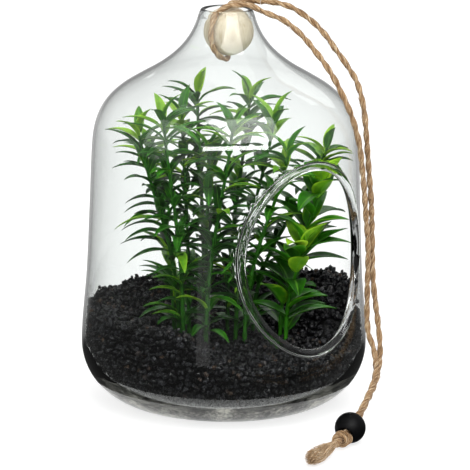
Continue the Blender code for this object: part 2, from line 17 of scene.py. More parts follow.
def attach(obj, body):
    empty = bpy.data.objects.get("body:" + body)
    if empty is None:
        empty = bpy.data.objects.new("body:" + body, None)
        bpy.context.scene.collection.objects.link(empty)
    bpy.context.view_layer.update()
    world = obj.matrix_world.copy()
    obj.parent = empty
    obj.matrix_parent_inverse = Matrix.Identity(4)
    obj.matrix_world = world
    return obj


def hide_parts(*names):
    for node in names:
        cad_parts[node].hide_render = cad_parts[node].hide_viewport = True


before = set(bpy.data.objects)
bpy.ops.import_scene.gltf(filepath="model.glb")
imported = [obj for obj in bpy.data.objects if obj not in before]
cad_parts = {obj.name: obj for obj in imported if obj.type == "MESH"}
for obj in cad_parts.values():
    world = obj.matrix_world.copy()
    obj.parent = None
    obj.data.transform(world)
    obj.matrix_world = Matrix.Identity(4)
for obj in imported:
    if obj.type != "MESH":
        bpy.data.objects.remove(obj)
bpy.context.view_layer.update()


# Glass bottle
# Clear soda glass, blown in one piece: a thick floor, thin walls, a rolled rim, and an oval opening in
# its side whose cut edge is melted back to a thick round lip.
BASE_FLAT_RADIUS = 0.056
CORNER_WIDTH = 0.0395
CORNER_HEIGHT = 0.040
CORNER_STEPS = 4
WALL = [(0.0920, 0.090), (0.0900, 0.136), (0.0888, 0.168)]
SHOULDER_CURVE = [(0.0888, 0.168), (0.0883, 0.197), (0.0790, 0.2078), (0.0580, 0.2193)]
NECK_CURVE = [(0.0580, 0.2193), (0.0300, 0.2340), (0.0225, 0.2460), (0.0180, 0.2620)]
SHOULDER_STEPS = 6
NECK_STEPS = 7
RIM_ROLL_RADIUS = 0.0014
RIM_RADIUS = 0.0159
RIM_HEIGHT = 0.2631
RIM_STEPS = 12
WALL_THICKNESS = 0.0020
NECK_THICKNESS = 0.0017
FLOOR_THICKNESS = 0.008
FLOOR_RADIUS = 0.060
FLOOR_CORNER_HEIGHT = 0.035
FLOOR_RINGS = 8
GLASS_STEPS = 144
OUTLINE_STEP = 0.0022
ROUTE_FINENESS = 12
CENTRE_RADIUS = 0.002
OPENING_HEIGHT = 0.112
LIP_HALF_WIDTH = 0.0496
LIP_HALF_HEIGHT = 0.0612
CUTTER_DEPTHS = (-0.13, -0.05)
LIP_RADIUS = 0.0030
LIP_STEPS = 144
LIP_NOSE_STEPS = 12
LIP_FADE = 0.0032
LIP_FADE_STEPS = 8
LIP_END_HALF_THICKNESS = 0.0008
LIP_LEAN_STEP = 0.002
LIP_SMOOTH_ANGLE = radians(60)


def outer_outline():
    """(radius, height) of the glass from the rim down its outer side to the base."""
    corner = []
    for step in range(CORNER_STEPS + 1):
        turn = radians(90) * (1 - step / CORNER_STEPS)
        radius = BASE_FLAT_RADIUS + CORNER_WIDTH * sin(turn)
        corner.append((radius, CORNER_HEIGHT * (1 - cos(turn))))
    shoulder = interpolate_bezier(*[Vector((*point, 0)) for point in SHOULDER_CURVE], SHOULDER_STEPS)
    neck = interpolate_bezier(*[Vector((*point, 0)) for point in NECK_CURVE], NECK_STEPS)
    upper = [(point.x, point.y) for point in shoulder + neck[1:]]
    return upper[::-1] + WALL[-2::-1] + corner


def smooth_step(value, low=0, high=1):
    """From 0 at the low value to 1 at the high one, level at both ends."""
    share = min(max((value - low) / (high - low), 0), 1)
    return share * share * (3 - 2 * share)


def wall_thickness_at(height):
    """The glass's thickness: even up to the shoulder, then thinner towards the rim."""
    share = (height - WALL[-1][1]) / (RIM_HEIGHT - WALL[-1][1])
    return WALL_THICKNESS + (NECK_THICKNESS - WALL_THICKNESS) * min(max(share, 0), 1)


def inner_outline():
    """(radius, height) of the glass's inner side from the floor up to the rim."""
    outline = outer_outline()[::-1]
    widest = BASE_FLAT_RADIUS + CORNER_WIDTH - WALL_THICKNESS
    floor_corner = []
    for step in range(CORNER_STEPS + 1):
        turn = radians(90) * step / CORNER_STEPS
        radius = FLOOR_RADIUS + (widest - FLOOR_RADIUS) * sin(turn)
        floor_corner.append((radius, FLOOR_THICKNESS + FLOOR_CORNER_HEIGHT * (1 - cos(turn))))
    upper = []
    for index in range(CORNER_STEPS + 1, len(outline)):
        before = outline[index - 1]
        here = outline[index]
        after = outline[min(index + 1, len(outline) - 1)]
        run = after[0] - before[0]
        climb = after[1] - before[1]
        size = hypot(run, climb)
        thickness = wall_thickness_at(here[1])
        upper.append((here[0] - thickness * climb / size, here[1] + thickness * run / size))
    return floor_corner + upper


def radius_at(outline, height):
    """The outline's radius at a height, by straight stretches between its points."""
    points = sorted(outline, key=lambda point: point[1])
    for (first_r, first_z), (second_r, second_z) in zip(points, points[1:]):
        if first_z <= height <= second_z and second_z > first_z:
            return first_r + (second_r - first_r) * (height - first_z) / (second_z - first_z)
    return points[-1][0]


def smooth_route(knots, spacing):
    """Points at an even spacing on one smooth curve through the knots."""
    knots = [Vector(knot) for knot in knots]
    line = [knots[0]]
    for index in range(len(knots) - 1):
        start = knots[index]
        end = knots[index + 1]
        before = knots[max(index - 1, 0)]
        after = knots[min(index + 2, len(knots) - 1)]
        reach = (end - start).length / 3
        leave = start + (end - before).normalized() * reach
        arrive = end - (after - start).normalized() * reach
        line += interpolate_bezier(start, leave, arrive, end, ROUTE_FINENESS)[1:]
    travelled = [0.0]
    for first, second in zip(line, line[1:]):
        travelled.append(travelled[-1] + (second - first).length)
    count = max(round(travelled[-1] / spacing), 2)
    points = []
    index = 0
    for step in range(count + 1):
        wanted = travelled[-1] * step / count
        while index < len(line) - 2 and travelled[index + 1] < wanted:
            index += 1
        share = (wanted - travelled[index]) / (travelled[index + 1] - travelled[index])
        points.append(line[index].lerp(line[index + 1], share))
    return points


def rounded_outline(outline, step):
    """The same outline as one smooth curve."""
    return [(point.x, point.z) for point in smooth_route([(r, 0, z) for r, z in outline], step)]


def turned_rings(profile, steps):
    """A ring of points round Z for each point of the profile."""
    turns = [tau * step / steps for step in range(steps)]
    return [
        [Vector((radius * cos(turn), radius * sin(turn), height)) for turn in turns]
        for radius, height in profile
    ]


stage = bpy.context.scene


class Shape:
    """Points, faces, places in the pattern and shades, gathered for one mesh."""

    def __init__(self):
        self.points = []
        self.faces = []
        self.places = []
        self.tones = []

    def skin(self, rings, places, tone=0.0, closed=False):
        """Adds a skin over rings of points, with an end face at each end, or closed on itself."""
        first = len(self.points)
        sides = len(rings[0])
        for ring, row in zip(rings, places):
            self.points += ring
            self.places += row
            self.tones += [tone] * sides
        for step in range(len(rings) if closed else len(rings) - 1):
            here = first + step * sides
            there = first + (step + 1) % len(rings) * sides
            for side in range(sides):
                after = (side + 1) % sides
                self.faces.append((here + side, here + after, there + after, there + side))
        if not closed:
            self.faces.append(tuple(range(first + sides - 1, first - 1, -1)))
            last = first + (len(rings) - 1) * sides
            self.faces.append(tuple(range(last, last + sides)))

    def bare_object(self, name):
        """The object alone, its faces turned outward."""
        mesh = bpy.data.meshes.new(name)
        mesh.from_pydata(self.points, [], self.faces)
        edit = bmesh.new()
        edit.from_mesh(mesh)
        bmesh.ops.recalc_face_normals(edit, faces=edit.faces)
        edit.to_mesh(mesh)
        edit.free()
        made = bpy.data.objects.new(name, mesh)
        stage.collection.objects.link(made)
        return made


def plain_object(name, rings, closed=False):
    """A bare object over rings of points, with no pattern of its own."""
    shape = Shape()
    shape.skin(rings, [[(0, 0)] * len(rings[0])] * len(rings), closed=closed)
    return shape.bare_object(name)


def cut(target, operation, tool):
    """Cuts or joins a tool into an object's mesh, and removes the tool."""
    modifier = target.modifiers.new(operation, "BOOLEAN")
    modifier.operation = operation
    modifier.solver = "EXACT"
    modifier.object = tool
    bpy.context.view_layer.update()
    graph = bpy.context.evaluated_depsgraph_get()
    mesh = bpy.data.meshes.new_from_object(target.evaluated_get(graph))
    target.modifiers.clear()
    target.data = mesh
    bpy.data.objects.remove(tool)


smooth_outer = rounded_outline(outer_outline(), OUTLINE_STEP)
smooth_inner = rounded_outline(inner_outline(), OUTLINE_STEP)
rim = []
for step in range(RIM_STEPS + 1):
    turn = radians(180 - 180 * step / RIM_STEPS)
    radius = RIM_RADIUS + RIM_ROLL_RADIUS * cos(turn)
    rim.append((radius, RIM_HEIGHT + RIM_ROLL_RADIUS * sin(turn)))
floor_line = []
base_line = []
for step in range(FLOOR_RINGS):
    radius = CENTRE_RADIUS + (FLOOR_RADIUS - CENTRE_RADIUS) * step / FLOOR_RINGS
    floor_line.append((radius, FLOOR_THICKNESS))
    radius = BASE_FLAT_RADIUS + (CENTRE_RADIUS - BASE_FLAT_RADIUS) * (step + 1) / FLOOR_RINGS
    base_line.append((radius, 0.0))
profile = floor_line + smooth_inner[:-1] + rim + smooth_outer + base_line
bottle = plain_object("blown_glass_bottle", turned_rings(profile, GLASS_STEPS))

sides = [tau * (step + 0.5) / LIP_STEPS for step in range(LIP_STEPS)]
opening_cutter = plain_object("opening_cutter", [
    [
        Vector((LIP_HALF_WIDTH * cos(turn), depth, OPENING_HEIGHT + LIP_HALF_HEIGHT * sin(turn)))
        for turn in sides
    ]
    for depth in CUTTER_DEPTHS
])
cut(bottle, "DIFFERENCE", opening_cutter)

# The lip's section: a round nose, fading outward into the wall. Each point is (reach out, off the wall).
nose = []
for step in range(LIP_NOSE_STEPS + 1):
    turn = radians(90 + 180 * step / LIP_NOSE_STEPS)
    nose.append((LIP_RADIUS * cos(turn), LIP_RADIUS * sin(turn)))
fade = []
for step in range(1, LIP_FADE_STEPS + 1):
    share = step / LIP_FADE_STEPS
    off = -LIP_RADIUS + (LIP_RADIUS - LIP_END_HALF_THICKNESS) * smooth_step(share)
    fade.append((LIP_FADE * share, off))
section = nose + fade + [(reach, -off) for reach, off in fade[::-1]]
lip_rings = []
for turn in sides:
    ring = []
    steer = Vector((cos(turn) / LIP_HALF_WIDTH, 0, sin(turn) / LIP_HALF_HEIGHT)).normalized()
    for reach, off in section:
        x = LIP_HALF_WIDTH * cos(turn) + steer.x * reach
        z = OPENING_HEIGHT + LIP_HALF_HEIGHT * sin(turn) + steer.z * reach
        middle = radius_at(smooth_outer, z) - wall_thickness_at(z) / 2
        depth = sqrt(middle**2 - x * x)
        above = radius_at(smooth_outer, z + LIP_LEAN_STEP)
        lean = (radius_at(smooth_outer, z - LIP_LEAN_STEP) - above) / (2 * LIP_LEAN_STEP)
        outward = Vector((x, -depth, middle * lean)).normalized()
        ring.append(Vector((x, -depth, z)) + outward * off)
    lip_rings.append(ring)
cut(bottle, "UNION", plain_object("lip", lip_rings, closed=True))
bottle.data.shade_smooth()
bottle.data.set_sharp_from_angle(angle=LIP_SMOOTH_ANGLE)


def srgb(code):
    """A colour written as sRGB hex, as linear light."""
    values = [int(code[index:index + 2], 16) / 255 for index in (1, 3, 5)]
    linear = [value / 12.92 if value <= 0.04045 else ((value + 0.055) / 1.055) ** 2.4 for value in values]
    return (*linear, 1.0)


def new_material(name):
    """A material with no nodes yet."""
    made = bpy.data.materials.new(name)
    made.use_nodes = True
    made.node_tree.nodes.clear()
    return made


def add_node(owner, kind, inputs=None, stops=None, **settings):
    """Adds a shader node. An input is given a value, or the node or output socket that feeds it: a
    node given whole feeds it by its first output."""
    tree = owner.node_tree
    made = tree.nodes.new("ShaderNode" + kind)
    for key, value in settings.items():
        setattr(made, key, value)
    for key, value in (inputs or {}).items():
        if isinstance(value, bpy.types.Node):
            value = value.outputs[0]
        if isinstance(value, bpy.types.NodeSocket):
            tree.links.new(value, made.inputs[key])
        else:
            made.inputs[key].default_value = value
    for index, (position, colour) in enumerate(stops or []):
        ramp = made.color_ramp.elements
        stop = ramp[index] if index < len(ramp) else ramp.new(position)
        stop.position = position
        stop.color = colour
    return made


def finished(made, finish, replaced=None):
    """Gives a piece its material, hangs it on the root body and hides the solids that it stands for."""
    slot, surface = finish
    made.data.materials.clear()
    made.data.materials.append(surface)
    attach(made, "root")
    if replaced:
        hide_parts(*replaced)
    return made


# Soda glass, blown and fire-polished: clear to the eye, grey-green through its thickness. The tint is
# an absorption in the glass itself, so edges and the thick floor go dark as the real ones do. Shadow rays
# pass it as thin clear glass, so that what stands in the jar is lit as in a real one.
GLASS_TINT = "#b9c6c0"
GLASS_DENSITY = 9.0
GLASS_SKIN = "#fafcfb"
GLASS_SHADOW = "#f2f4f3"
glass = new_material("blown_soda_glass")
body = add_node(glass, "BsdfPrincipled", {
    "Base Color": srgb(GLASS_SKIN), "Roughness": 0.0, "IOR": 1.5, "Transmission Weight": 1.0,
})
clear = add_node(glass, "BsdfTransparent", {"Color": srgb(GLASS_SHADOW)})
light_path = add_node(glass, "LightPath")
either = add_node(glass, "MixShader", {0: light_path.outputs["Is Shadow Ray"], 1: body, 2: clear})
tint = add_node(glass, "VolumeAbsorption", {"Color": srgb(GLASS_TINT), "Density": GLASS_DENSITY})
add_node(glass, "OutputMaterial", {"Surface": either, "Volume": tint})
finished(bottle, ("clear_glass", glass), ["glass_bottle"])


# Gravel
# Crushed black stone in grains of 2 to 4 mm, poured in and pushed up against the far walls: a dish,
# low at the opening, with a mound on the +X side. Grains lie on a dark core and press on the glass.
GRAVEL_LEVEL = 0.042
GRAVEL_RISE = 0.022
GRAVEL_RISE_START = 0.030
GRAVEL_RISE_END = 0.086
OPENING_LOW_ANGLE = radians(33)
OPENING_HIGH_ANGLE = radians(62)
MOUND_PLACE = (0.085, -0.019)
MOUND_SPREAD = 0.036
MOUND_HEIGHT = 0.012
HEAP_HEIGHT = 0.0012
HEAP_SPACING = 0.017
SLANTED_HEAP_SHARE = 0.6
GRAIN_RADIUS = 0.0018
GRAIN_SPACING = 0.0026
GRAIN_CLEAR = 0.0002
GRAIN_SMOOTH_ANGLE = radians(24)
CORE_STEPS = 96
CORE_RINGS = 30
CORE_CENTRE_RADIUS = 0.001
CORE_INSET = 2.2 * GRAIN_RADIUS
CORE_LIFT = 0.6 * GRAIN_RADIUS
HEAPED_SHARE = 0.24
GRAIN_STRAY = 0.0008
SIDE_GRAIN_STRAY = 0.0013


def gravel_level(x, y):
    """Height of the gravel: a dish with a mound, low along the opening, with heaps 17 mm apart."""
    side = smooth_step(abs(atan2(x, -y)), OPENING_LOW_ANGLE, OPENING_HIGH_ANGLE)
    rise = smooth_step(hypot(x, y), GRAVEL_RISE_START, GRAVEL_RISE_END) * side
    from_mound = (x - MOUND_PLACE[0]) ** 2 + (y - MOUND_PLACE[1]) ** 2
    mound = exp(-from_mound / MOUND_SPREAD**2) * side
    wave = tau / (sqrt(2) * HEAP_SPACING)
    heaps = sin(wave * x + 1.3) * sin(wave * y + 0.4)
    heaps += SLANTED_HEAP_SHARE * sin(wave * (0.7 * x - 0.8 * y) + 2.0)
    return GRAVEL_LEVEL + GRAVEL_RISE * rise + MOUND_HEIGHT * mound + HEAP_HEIGHT * heaps


def grain_piece(name, centres, sizes, surface, replaced=None):
    """Crushed grains: twenty-sided lumps, each stretched, dented and turned its own way, in one mesh."""
    seed_shape = bmesh.new()
    bmesh.ops.create_icosphere(seed_shape, subdivisions=1, radius=1.0)
    lump = np.array([corner.co for corner in seed_shape.verts])
    lump_faces = np.array([[corner.index for corner in face.verts] for face in seed_shape.faces])
    seed_shape.free()
    numbers = np.random.default_rng(len(centres))
    count = len(centres)
    size = np.array(sizes)[:, None, None]
    stretch = numbers.uniform(0.68, 1.18, (count, 1, 3))
    dents = numbers.uniform(0.78, 1.16, (count, len(lump), 1))
    local = lump[None] * stretch * dents * size
    turns = numbers.normal(size=(count, 4))
    turns /= np.linalg.norm(turns, axis=1)[:, None]
    w, x, y, z = turns.T
    matrix = np.stack([
        1 - 2 * (y * y + z * z), 2 * (x * y - z * w), 2 * (x * z + y * w),
        2 * (x * y + z * w), 1 - 2 * (x * x + z * z), 2 * (y * z - x * w),
        2 * (x * z - y * w), 2 * (y * z + x * w), 1 - 2 * (x * x + y * y),
    ], axis=1).reshape(count, 3, 3)
    points = np.einsum("nij,nkj->nki", matrix, local) + np.array(centres)[:, None, :]
    points = points.reshape(-1, 3)
    # A grain against the glass is pressed flat on it, up to the height where the wall turns inward
    widths, heights = np.array(smooth_inner[:len(smooth_inner) * 2 // 3]).T
    points[:, 2] = np.maximum(points[:, 2], FLOOR_THICKNESS + GRAIN_CLEAR)
    limit = np.interp(points[:, 2], heights, widths)
    reach = np.hypot(points[:, 0], points[:, 1])
    shrink = np.minimum(1, (limit - GRAIN_CLEAR) / np.maximum(reach, 1e-6))
    points[:, :2] *= shrink[:, None]
    faces = (lump_faces[None] + np.arange(count)[:, None, None] * len(lump)).reshape(-1, 3)
    mesh = bpy.data.meshes.new(name)
    mesh.from_pydata(points.tolist(), [], faces.tolist())
    tones = mesh.attributes.new("tone", "FLOAT", "POINT")
    tones.data.foreach_set("value", np.repeat(numbers.uniform(0, 1, count), len(lump)).astype(np.float32))
    mesh.shade_smooth()
    mesh.set_sharp_from_angle(angle=GRAIN_SMOOTH_ANGLE)
    made = bpy.data.objects.new(name, mesh)
    stage.collection.objects.link(made)
    return finished(made, ("black_gravel", surface), replaced)


# Crushed black stone, damp-looking: near black, with glints from small flat breaks 0.9 mm wide, whose
# polish changes every 0.6 mm. One grain in twenty is brown.
stone = new_material("crushed_black_stone")
spot = add_node(stone, "TexCoord").outputs["Object"]
breaks = add_node(stone, "TexVoronoi", {"Vector": spot, "Scale": 1 / 0.0009})
grit = add_node(stone, "TexNoise", {"Vector": spot, "Scale": 1 / 0.0006, "Detail": 3.0})
tone = add_node(stone, "Attribute", attribute_name="tone")
black = add_node(stone, "ValToRGB", {"Fac": tone.outputs["Fac"]}, stops=[
    (0.0, srgb("#020202")), (1.0, srgb("#3a2a1d")), (0.5, srgb("#080809")), (0.95, srgb("#2a2a2d")),
])
gloss = add_node(stone, "MapRange", {"Value": grit, "To Min": 0.10, "To Max": 0.60})
chips = add_node(stone, "Bump", {"Height": breaks, "Strength": 0.55, "Distance": 0.0004})
skin = add_node(stone, "BsdfPrincipled", {
    "Base Color": black, "Roughness": gloss, "Normal": chips, "Specular IOR Level": 0.26,
})
add_node(stone, "OutputMaterial", {"Surface": skin})

# The dark core, which shows between the grains where the glass floor would
core_rings = []
for ring in range(CORE_RINGS + 1):
    circle = []
    for step in range(CORE_STEPS):
        turn = tau * step / CORE_STEPS
        edge = radius_at(smooth_inner, GRAVEL_LEVEL + GRAVEL_RISE) - 2 * GRAIN_RADIUS
        radius = CORE_CENTRE_RADIUS + (edge - CORE_CENTRE_RADIUS) * ring / CORE_RINGS
        x = radius * cos(turn)
        y = radius * sin(turn)
        circle.append(Vector((x, y, gravel_level(x, y) - GRAIN_RADIUS)))
    core_rings.append(circle)
for radius, height in smooth_inner[::-2]:
    if height < GRAVEL_LEVEL - 3 * GRAIN_RADIUS:
        inward = max(radius - CORE_INSET, CORE_CENTRE_RADIUS)
        core_rings += turned_rings([(inward, height + CORE_LIFT)], CORE_STEPS)
core_rings += turned_rings([(CORE_CENTRE_RADIUS, FLOOR_THICKNESS + CORE_LIFT)], CORE_STEPS)
finished(plain_object("gravel_core", core_rings), ("black_gravel", stone))

# The grains on top, some of them heaped on others
draw = random.Random(41)
top_centres = []
top_sizes = []
widest = radius_at(smooth_inner, GRAVEL_LEVEL) - GRAIN_RADIUS
rows = int(2 * widest / GRAIN_SPACING)
for row in range(rows + 1):
    for column in range(rows + 1):
        x = GRAIN_SPACING * (column + 0.5 * (row % 2)) - widest + draw.uniform(-GRAIN_STRAY, GRAIN_STRAY)
        y = GRAIN_SPACING * row - widest + draw.uniform(-GRAIN_STRAY, GRAIN_STRAY)
        level = gravel_level(x, y)
        if hypot(x, y) > radius_at(smooth_inner, level) - 0.8 * GRAIN_RADIUS:
            continue
        size = GRAIN_RADIUS * draw.uniform(0.7, 1.25)
        heap = draw.random() < HEAPED_SHARE
        top = draw.uniform(0.5, 1.3) * size if heap else draw.uniform(-0.9, 0.2) * GRAIN_RADIUS
        top_centres.append((x, y, level + top))
        top_sizes.append(size)
grain_piece("gravel_on_top", top_centres, top_sizes, stone, ["gravel_bed"])

# The grains that show through the wall and the floor, in rings up the glass
side_centres = []
side_sizes = []
travelled = 0.0
last = smooth_inner[0]
for radius, height in smooth_inner:
    travelled += hypot(radius - last[0], height - last[1])
    last = (radius, height)
    if travelled < GRAIN_SPACING * 0.95 and height > FLOOR_THICKNESS:
        continue
    travelled = 0.0
    around = int(tau * radius / (0.8 * GRAIN_SPACING))
    for step in range(around):
        turn = tau * (step + draw.random()) / around
        x = cos(turn)
        y = sin(turn)
        size = GRAIN_RADIUS * draw.uniform(0.7, 1.2)
        inset = radius - draw.uniform(0.85, 2.2) * size
        z = height + draw.uniform(-SIDE_GRAIN_STRAY, SIDE_GRAIN_STRAY)
        if z < gravel_level(x * inset, y * inset) + 0.3 * GRAIN_RADIUS:
            side_centres.append((x * inset, y * inset, z))
            side_sizes.append(size)
grain_piece("gravel_on_glass", side_centres, side_sizes, stone)


# Settled dust
# What rubs off the grains lies as a pale film on the glass floor and a little way up its corner. It is
# pressed on the glass, and shows through the thick base from outside.
UP = Vector((0, 0, 1))
DUST_THICKNESS = 0.00015
DUST_SINK = 0.00005
DUST_HEIGHT = 0.0155
DUST_UNEVEN = 0.0040
DUST_EDGE_UNEVEN = 0.0009
DUST_STEPS = 180
DUST_RINGS = 40
DUST_SLOPE_STEP = 0.001
DUST_LINE_TOP = 0.03

dust_line = [(CENTRE_RADIUS, FLOOR_THICKNESS)]
dust_line += [place for place in smooth_inner if place[1] < DUST_LINE_TOP]
travelled = [0.0]
for before, here in zip(dust_line, dust_line[1:]):
    travelled.append(travelled[-1] + hypot(here[0] - before[0], here[1] - before[1]))
line_radii, line_heights = zip(*dust_line)
dust_rings = []
outward_orders = list(range(DUST_RINGS + 1))
for side, orders in ((DUST_THICKNESS, outward_orders), (-DUST_SINK, outward_orders[::-1])):
    for order in orders:
        circle = []
        for step in range(DUST_STEPS):
            turn = tau * step / DUST_STEPS
            outward = Vector((cos(turn), sin(turn), 0))
            top = DUST_HEIGHT + DUST_UNEVEN * noise.noise(outward * 3.1)
            top += DUST_EDGE_UNEVEN * noise.noise(outward * 23)
            reach = np.interp(top, line_heights, travelled) * order / DUST_RINGS
            radius = np.interp(reach, travelled, line_radii)
            height = np.interp(reach, travelled, line_heights)
            run = np.interp(reach + DUST_SLOPE_STEP, travelled, line_radii) - radius
            climb = np.interp(reach + DUST_SLOPE_STEP, travelled, line_heights) - height
            size = hypot(run, climb)
            inward = max(radius - side * climb / size, CORE_CENTRE_RADIUS)
            circle.append(outward * inward + UP * (height + side * run / size))
        dust_rings.append(circle)

# Stone dust, fine and matt: warm grey, in spots 2 mm wide and patches of 14 mm, with black between them
# where grains press through to the glass.
dust = new_material("grey_stone_dust")
spot = add_node(dust, "TexCoord").outputs["Object"]
lumps = add_node(dust, "TexNoise", {"Vector": spot, "Scale": 1 / 0.0022, "Detail": 4.0, "Roughness": 0.7})
patches = add_node(dust, "TexNoise", {"Vector": spot, "Scale": 1 / 0.014, "Detail": 2.0})
mixed = add_node(dust, "Math", {0: lumps, 1: patches}, operation="ADD")
share = add_node(dust, "Math", {0: mixed, 1: 0.5}, operation="MULTIPLY")
grey = add_node(dust, "ValToRGB", {"Fac": share}, stops=[
    (0.40, srgb("#0a0a0a")), (0.62, srgb("#d2cfc6")), (0.46, srgb("#4c4b48")), (0.53, srgb("#86847e")),
])
skin = add_node(dust, "BsdfPrincipled", {
    "Base Color": grey, "Roughness": 0.95, "Specular IOR Level": 0.1,
})
add_node(dust, "OutputMaterial", {"Surface": skin})
finished(plain_object("settled_dust", dust_rings), ("black_gravel", dust))


# Leafy stems
# Thirteen moulded plastic sprays, pushed into the gravel: lance-shaped leaves in pairs up each stem and
# in a rosette at its tip, narrow on eleven of them and broad on the two in the opening.
GAP = 0.0003
STEM_RADIUS = 0.0015
STEM_STEP = 0.0015
STEM_SIDES = 10
STEM_TONE = 0.13
STEM_DEPTH = 0.026
LEAF_SEED = 11
LEAF_TRIES = 14
GOLDEN_ANGLE = radians(137.5)
BLADE_STATIONS = (0.0, 0.30, 0.66)
LEAF_FOLD = 0.35
LEAF_ROOT_OFFSET = 0.0004
LEAF_CLEAR = 0.0014
LEAF_FRONT_LIMIT = -0.0715
NEIGHBOUR_REACH = 0.075
PALEST_LEAF = 0.95
SMOOTH_ANGLE = radians(70)
NARROW_LEAF = {
    "kind": "narrow", "length": 0.030, "width": 0.0062, "thickness": 0.0010, "droop": 0.95,
    "nodes": 5, "per_node": 2, "first": 0.30, "rosette": 5, "fullness": 1.08,
    "more": 30, "more_sizes": (0.7, 1.15),
}
BROAD_LEAF = {
    "kind": "broad", "length": 0.030, "width": 0.0110, "thickness": 0.0011, "droop": 0.75,
    "nodes": 4, "per_node": 2, "first": 0.26, "rosette": 4, "fullness": 1.22,
    "more": 13, "more_sizes": (1.0, 1.45),
}
STEMS = [
    ("leafy_stem_01", (-0.029, 0.012), (-0.053, 0.026, 0.185), NARROW_LEAF),
    ("leafy_stem_02", (-0.032, 0.004), (-0.048, 0.006, 0.196), NARROW_LEAF),
    ("leafy_stem_03", (-0.018, 0.015), (-0.017, 0.025, 0.193), NARROW_LEAF),
    ("leafy_stem_04", (-0.022, 0.026), (-0.017, 0.059, 0.162), NARROW_LEAF),
    ("leafy_stem_05", (-0.022, -0.008), (-0.013, -0.023, 0.191), NARROW_LEAF),
    ("leafy_stem_06", (-0.011, 0.006), (-0.011, 0.004, 0.170), NARROW_LEAF),
    ("leafy_stem_07", (0.000, 0.021), (0.001, 0.031, 0.204), NARROW_LEAF),
    ("leafy_stem_08", (0.008, 0.006), (0.021, 0.000, 0.204), NARROW_LEAF),
    ("leafy_stem_09", (0.002, -0.010), (0.022, -0.024, 0.193), NARROW_LEAF),
    ("leafy_stem_10", (-0.002, -0.024), (0.014, -0.048, 0.174), NARROW_LEAF),
    ("leafy_stem_11", (0.020, -0.007), (0.056, -0.039, 0.170), NARROW_LEAF),
    ("leafy_stem_12", (0.026, -0.028), (0.040, -0.052, 0.151), BROAD_LEAF),
    ("leafy_stem_13", (0.024, -0.036), (0.022, -0.054, 0.112), BROAD_LEAF),
]
FINE_STATIONS = 14
FINE_ACROSS = 7
MORE_LEAF_TRIES = 26
MORE_LEAF_SEED = 77
MORE_LEAF_START = 0.14
MORE_LEAF_SPAN = 0.84
PAIR_PITCHES = (36, 62)
PAIR_SIZES = (0.85, 1.1)
MORE_LEAF_PITCHES = (10, 66)


def carried_frames(points):
    """At each point: the distance travelled, the line's direction, and two across it that never twist."""
    frames = []
    travelled = 0.0
    along = (points[1] - points[0]).normalized()
    across = along.orthogonal().normalized()
    for index in range(len(points)):
        before = points[max(index - 1, 0)]
        after = points[min(index + 1, len(points) - 1)]
        turned = (after - before).normalized()
        across = along.rotation_difference(turned) @ across
        along = turned
        if index:
            travelled += (points[index] - before).length
        frames.append((travelled, along, across, along.cross(across)))
    return frames


def add_tube(shape, points, radii, sides, tone=0.0, shift=0.0):
    """Adds a round tube along the points, with its own place in the pattern."""
    rings = []
    places = []
    turns = [tau * side / sides for side in range(sides)]
    for point, radius, (travelled, along, across, other) in zip(points, radii, carried_frames(points)):
        rings.append([point + (across * cos(turn) + other * sin(turn)) * radius for turn in turns])
        places.append([(shift + radius * turn, shift + travelled) for turn in turns])
    shape.skin(rings, places, tone)


def patterned_piece(shape, name, finish, replaced):
    """The finished object, with the places and shades that its material reads."""
    made = shape.bare_object(name)
    mesh = made.data
    corners = np.zeros(len(mesh.loops), dtype=np.int32)
    mesh.loops.foreach_get("vertex_index", corners)
    layer = mesh.uv_layers.new(name="place")
    layer.data.foreach_set("uv", np.array(shape.places, dtype=np.float32)[corners].ravel())
    tones = mesh.attributes.new("tone", "FLOAT", "POINT")
    tones.data.foreach_set("value", np.array(shape.tones, dtype=np.float32))
    mesh.shade_smooth()
    mesh.set_sharp_from_angle(angle=SMOOTH_ANGLE)
    return finished(made, finish, replaced)


def stem_line(foot, tip):
    """Upright out of the gravel, then leaning over to the tip."""
    start = Vector((*foot, gravel_level(*foot) - STEM_DEPTH))
    leave = Vector((*foot, gravel_level(*foot) + 0.006))
    end = Vector(tip)
    lean = Vector((end.x - leave.x, end.y - leave.y, 0))
    height = Vector((0, 0, end.z - leave.z))
    bend = leave + height * 0.45
    arrive = end - height * 0.30 - lean * 0.22
    return [start] + interpolate_bezier(leave, bend, arrive, end, 7)


def leaf_axes(azimuth):
    """The level directions along the leaf and across it."""
    return Vector((cos(azimuth), sin(azimuth), 0)), Vector((-sin(azimuth), cos(azimuth), 0))


def leaf_spread(share):
    """How wide the leaf is along its length, against its widest: lance-shaped, fullest past a third."""
    return max(sin(pi * share**0.72), 0.0) ** 0.9


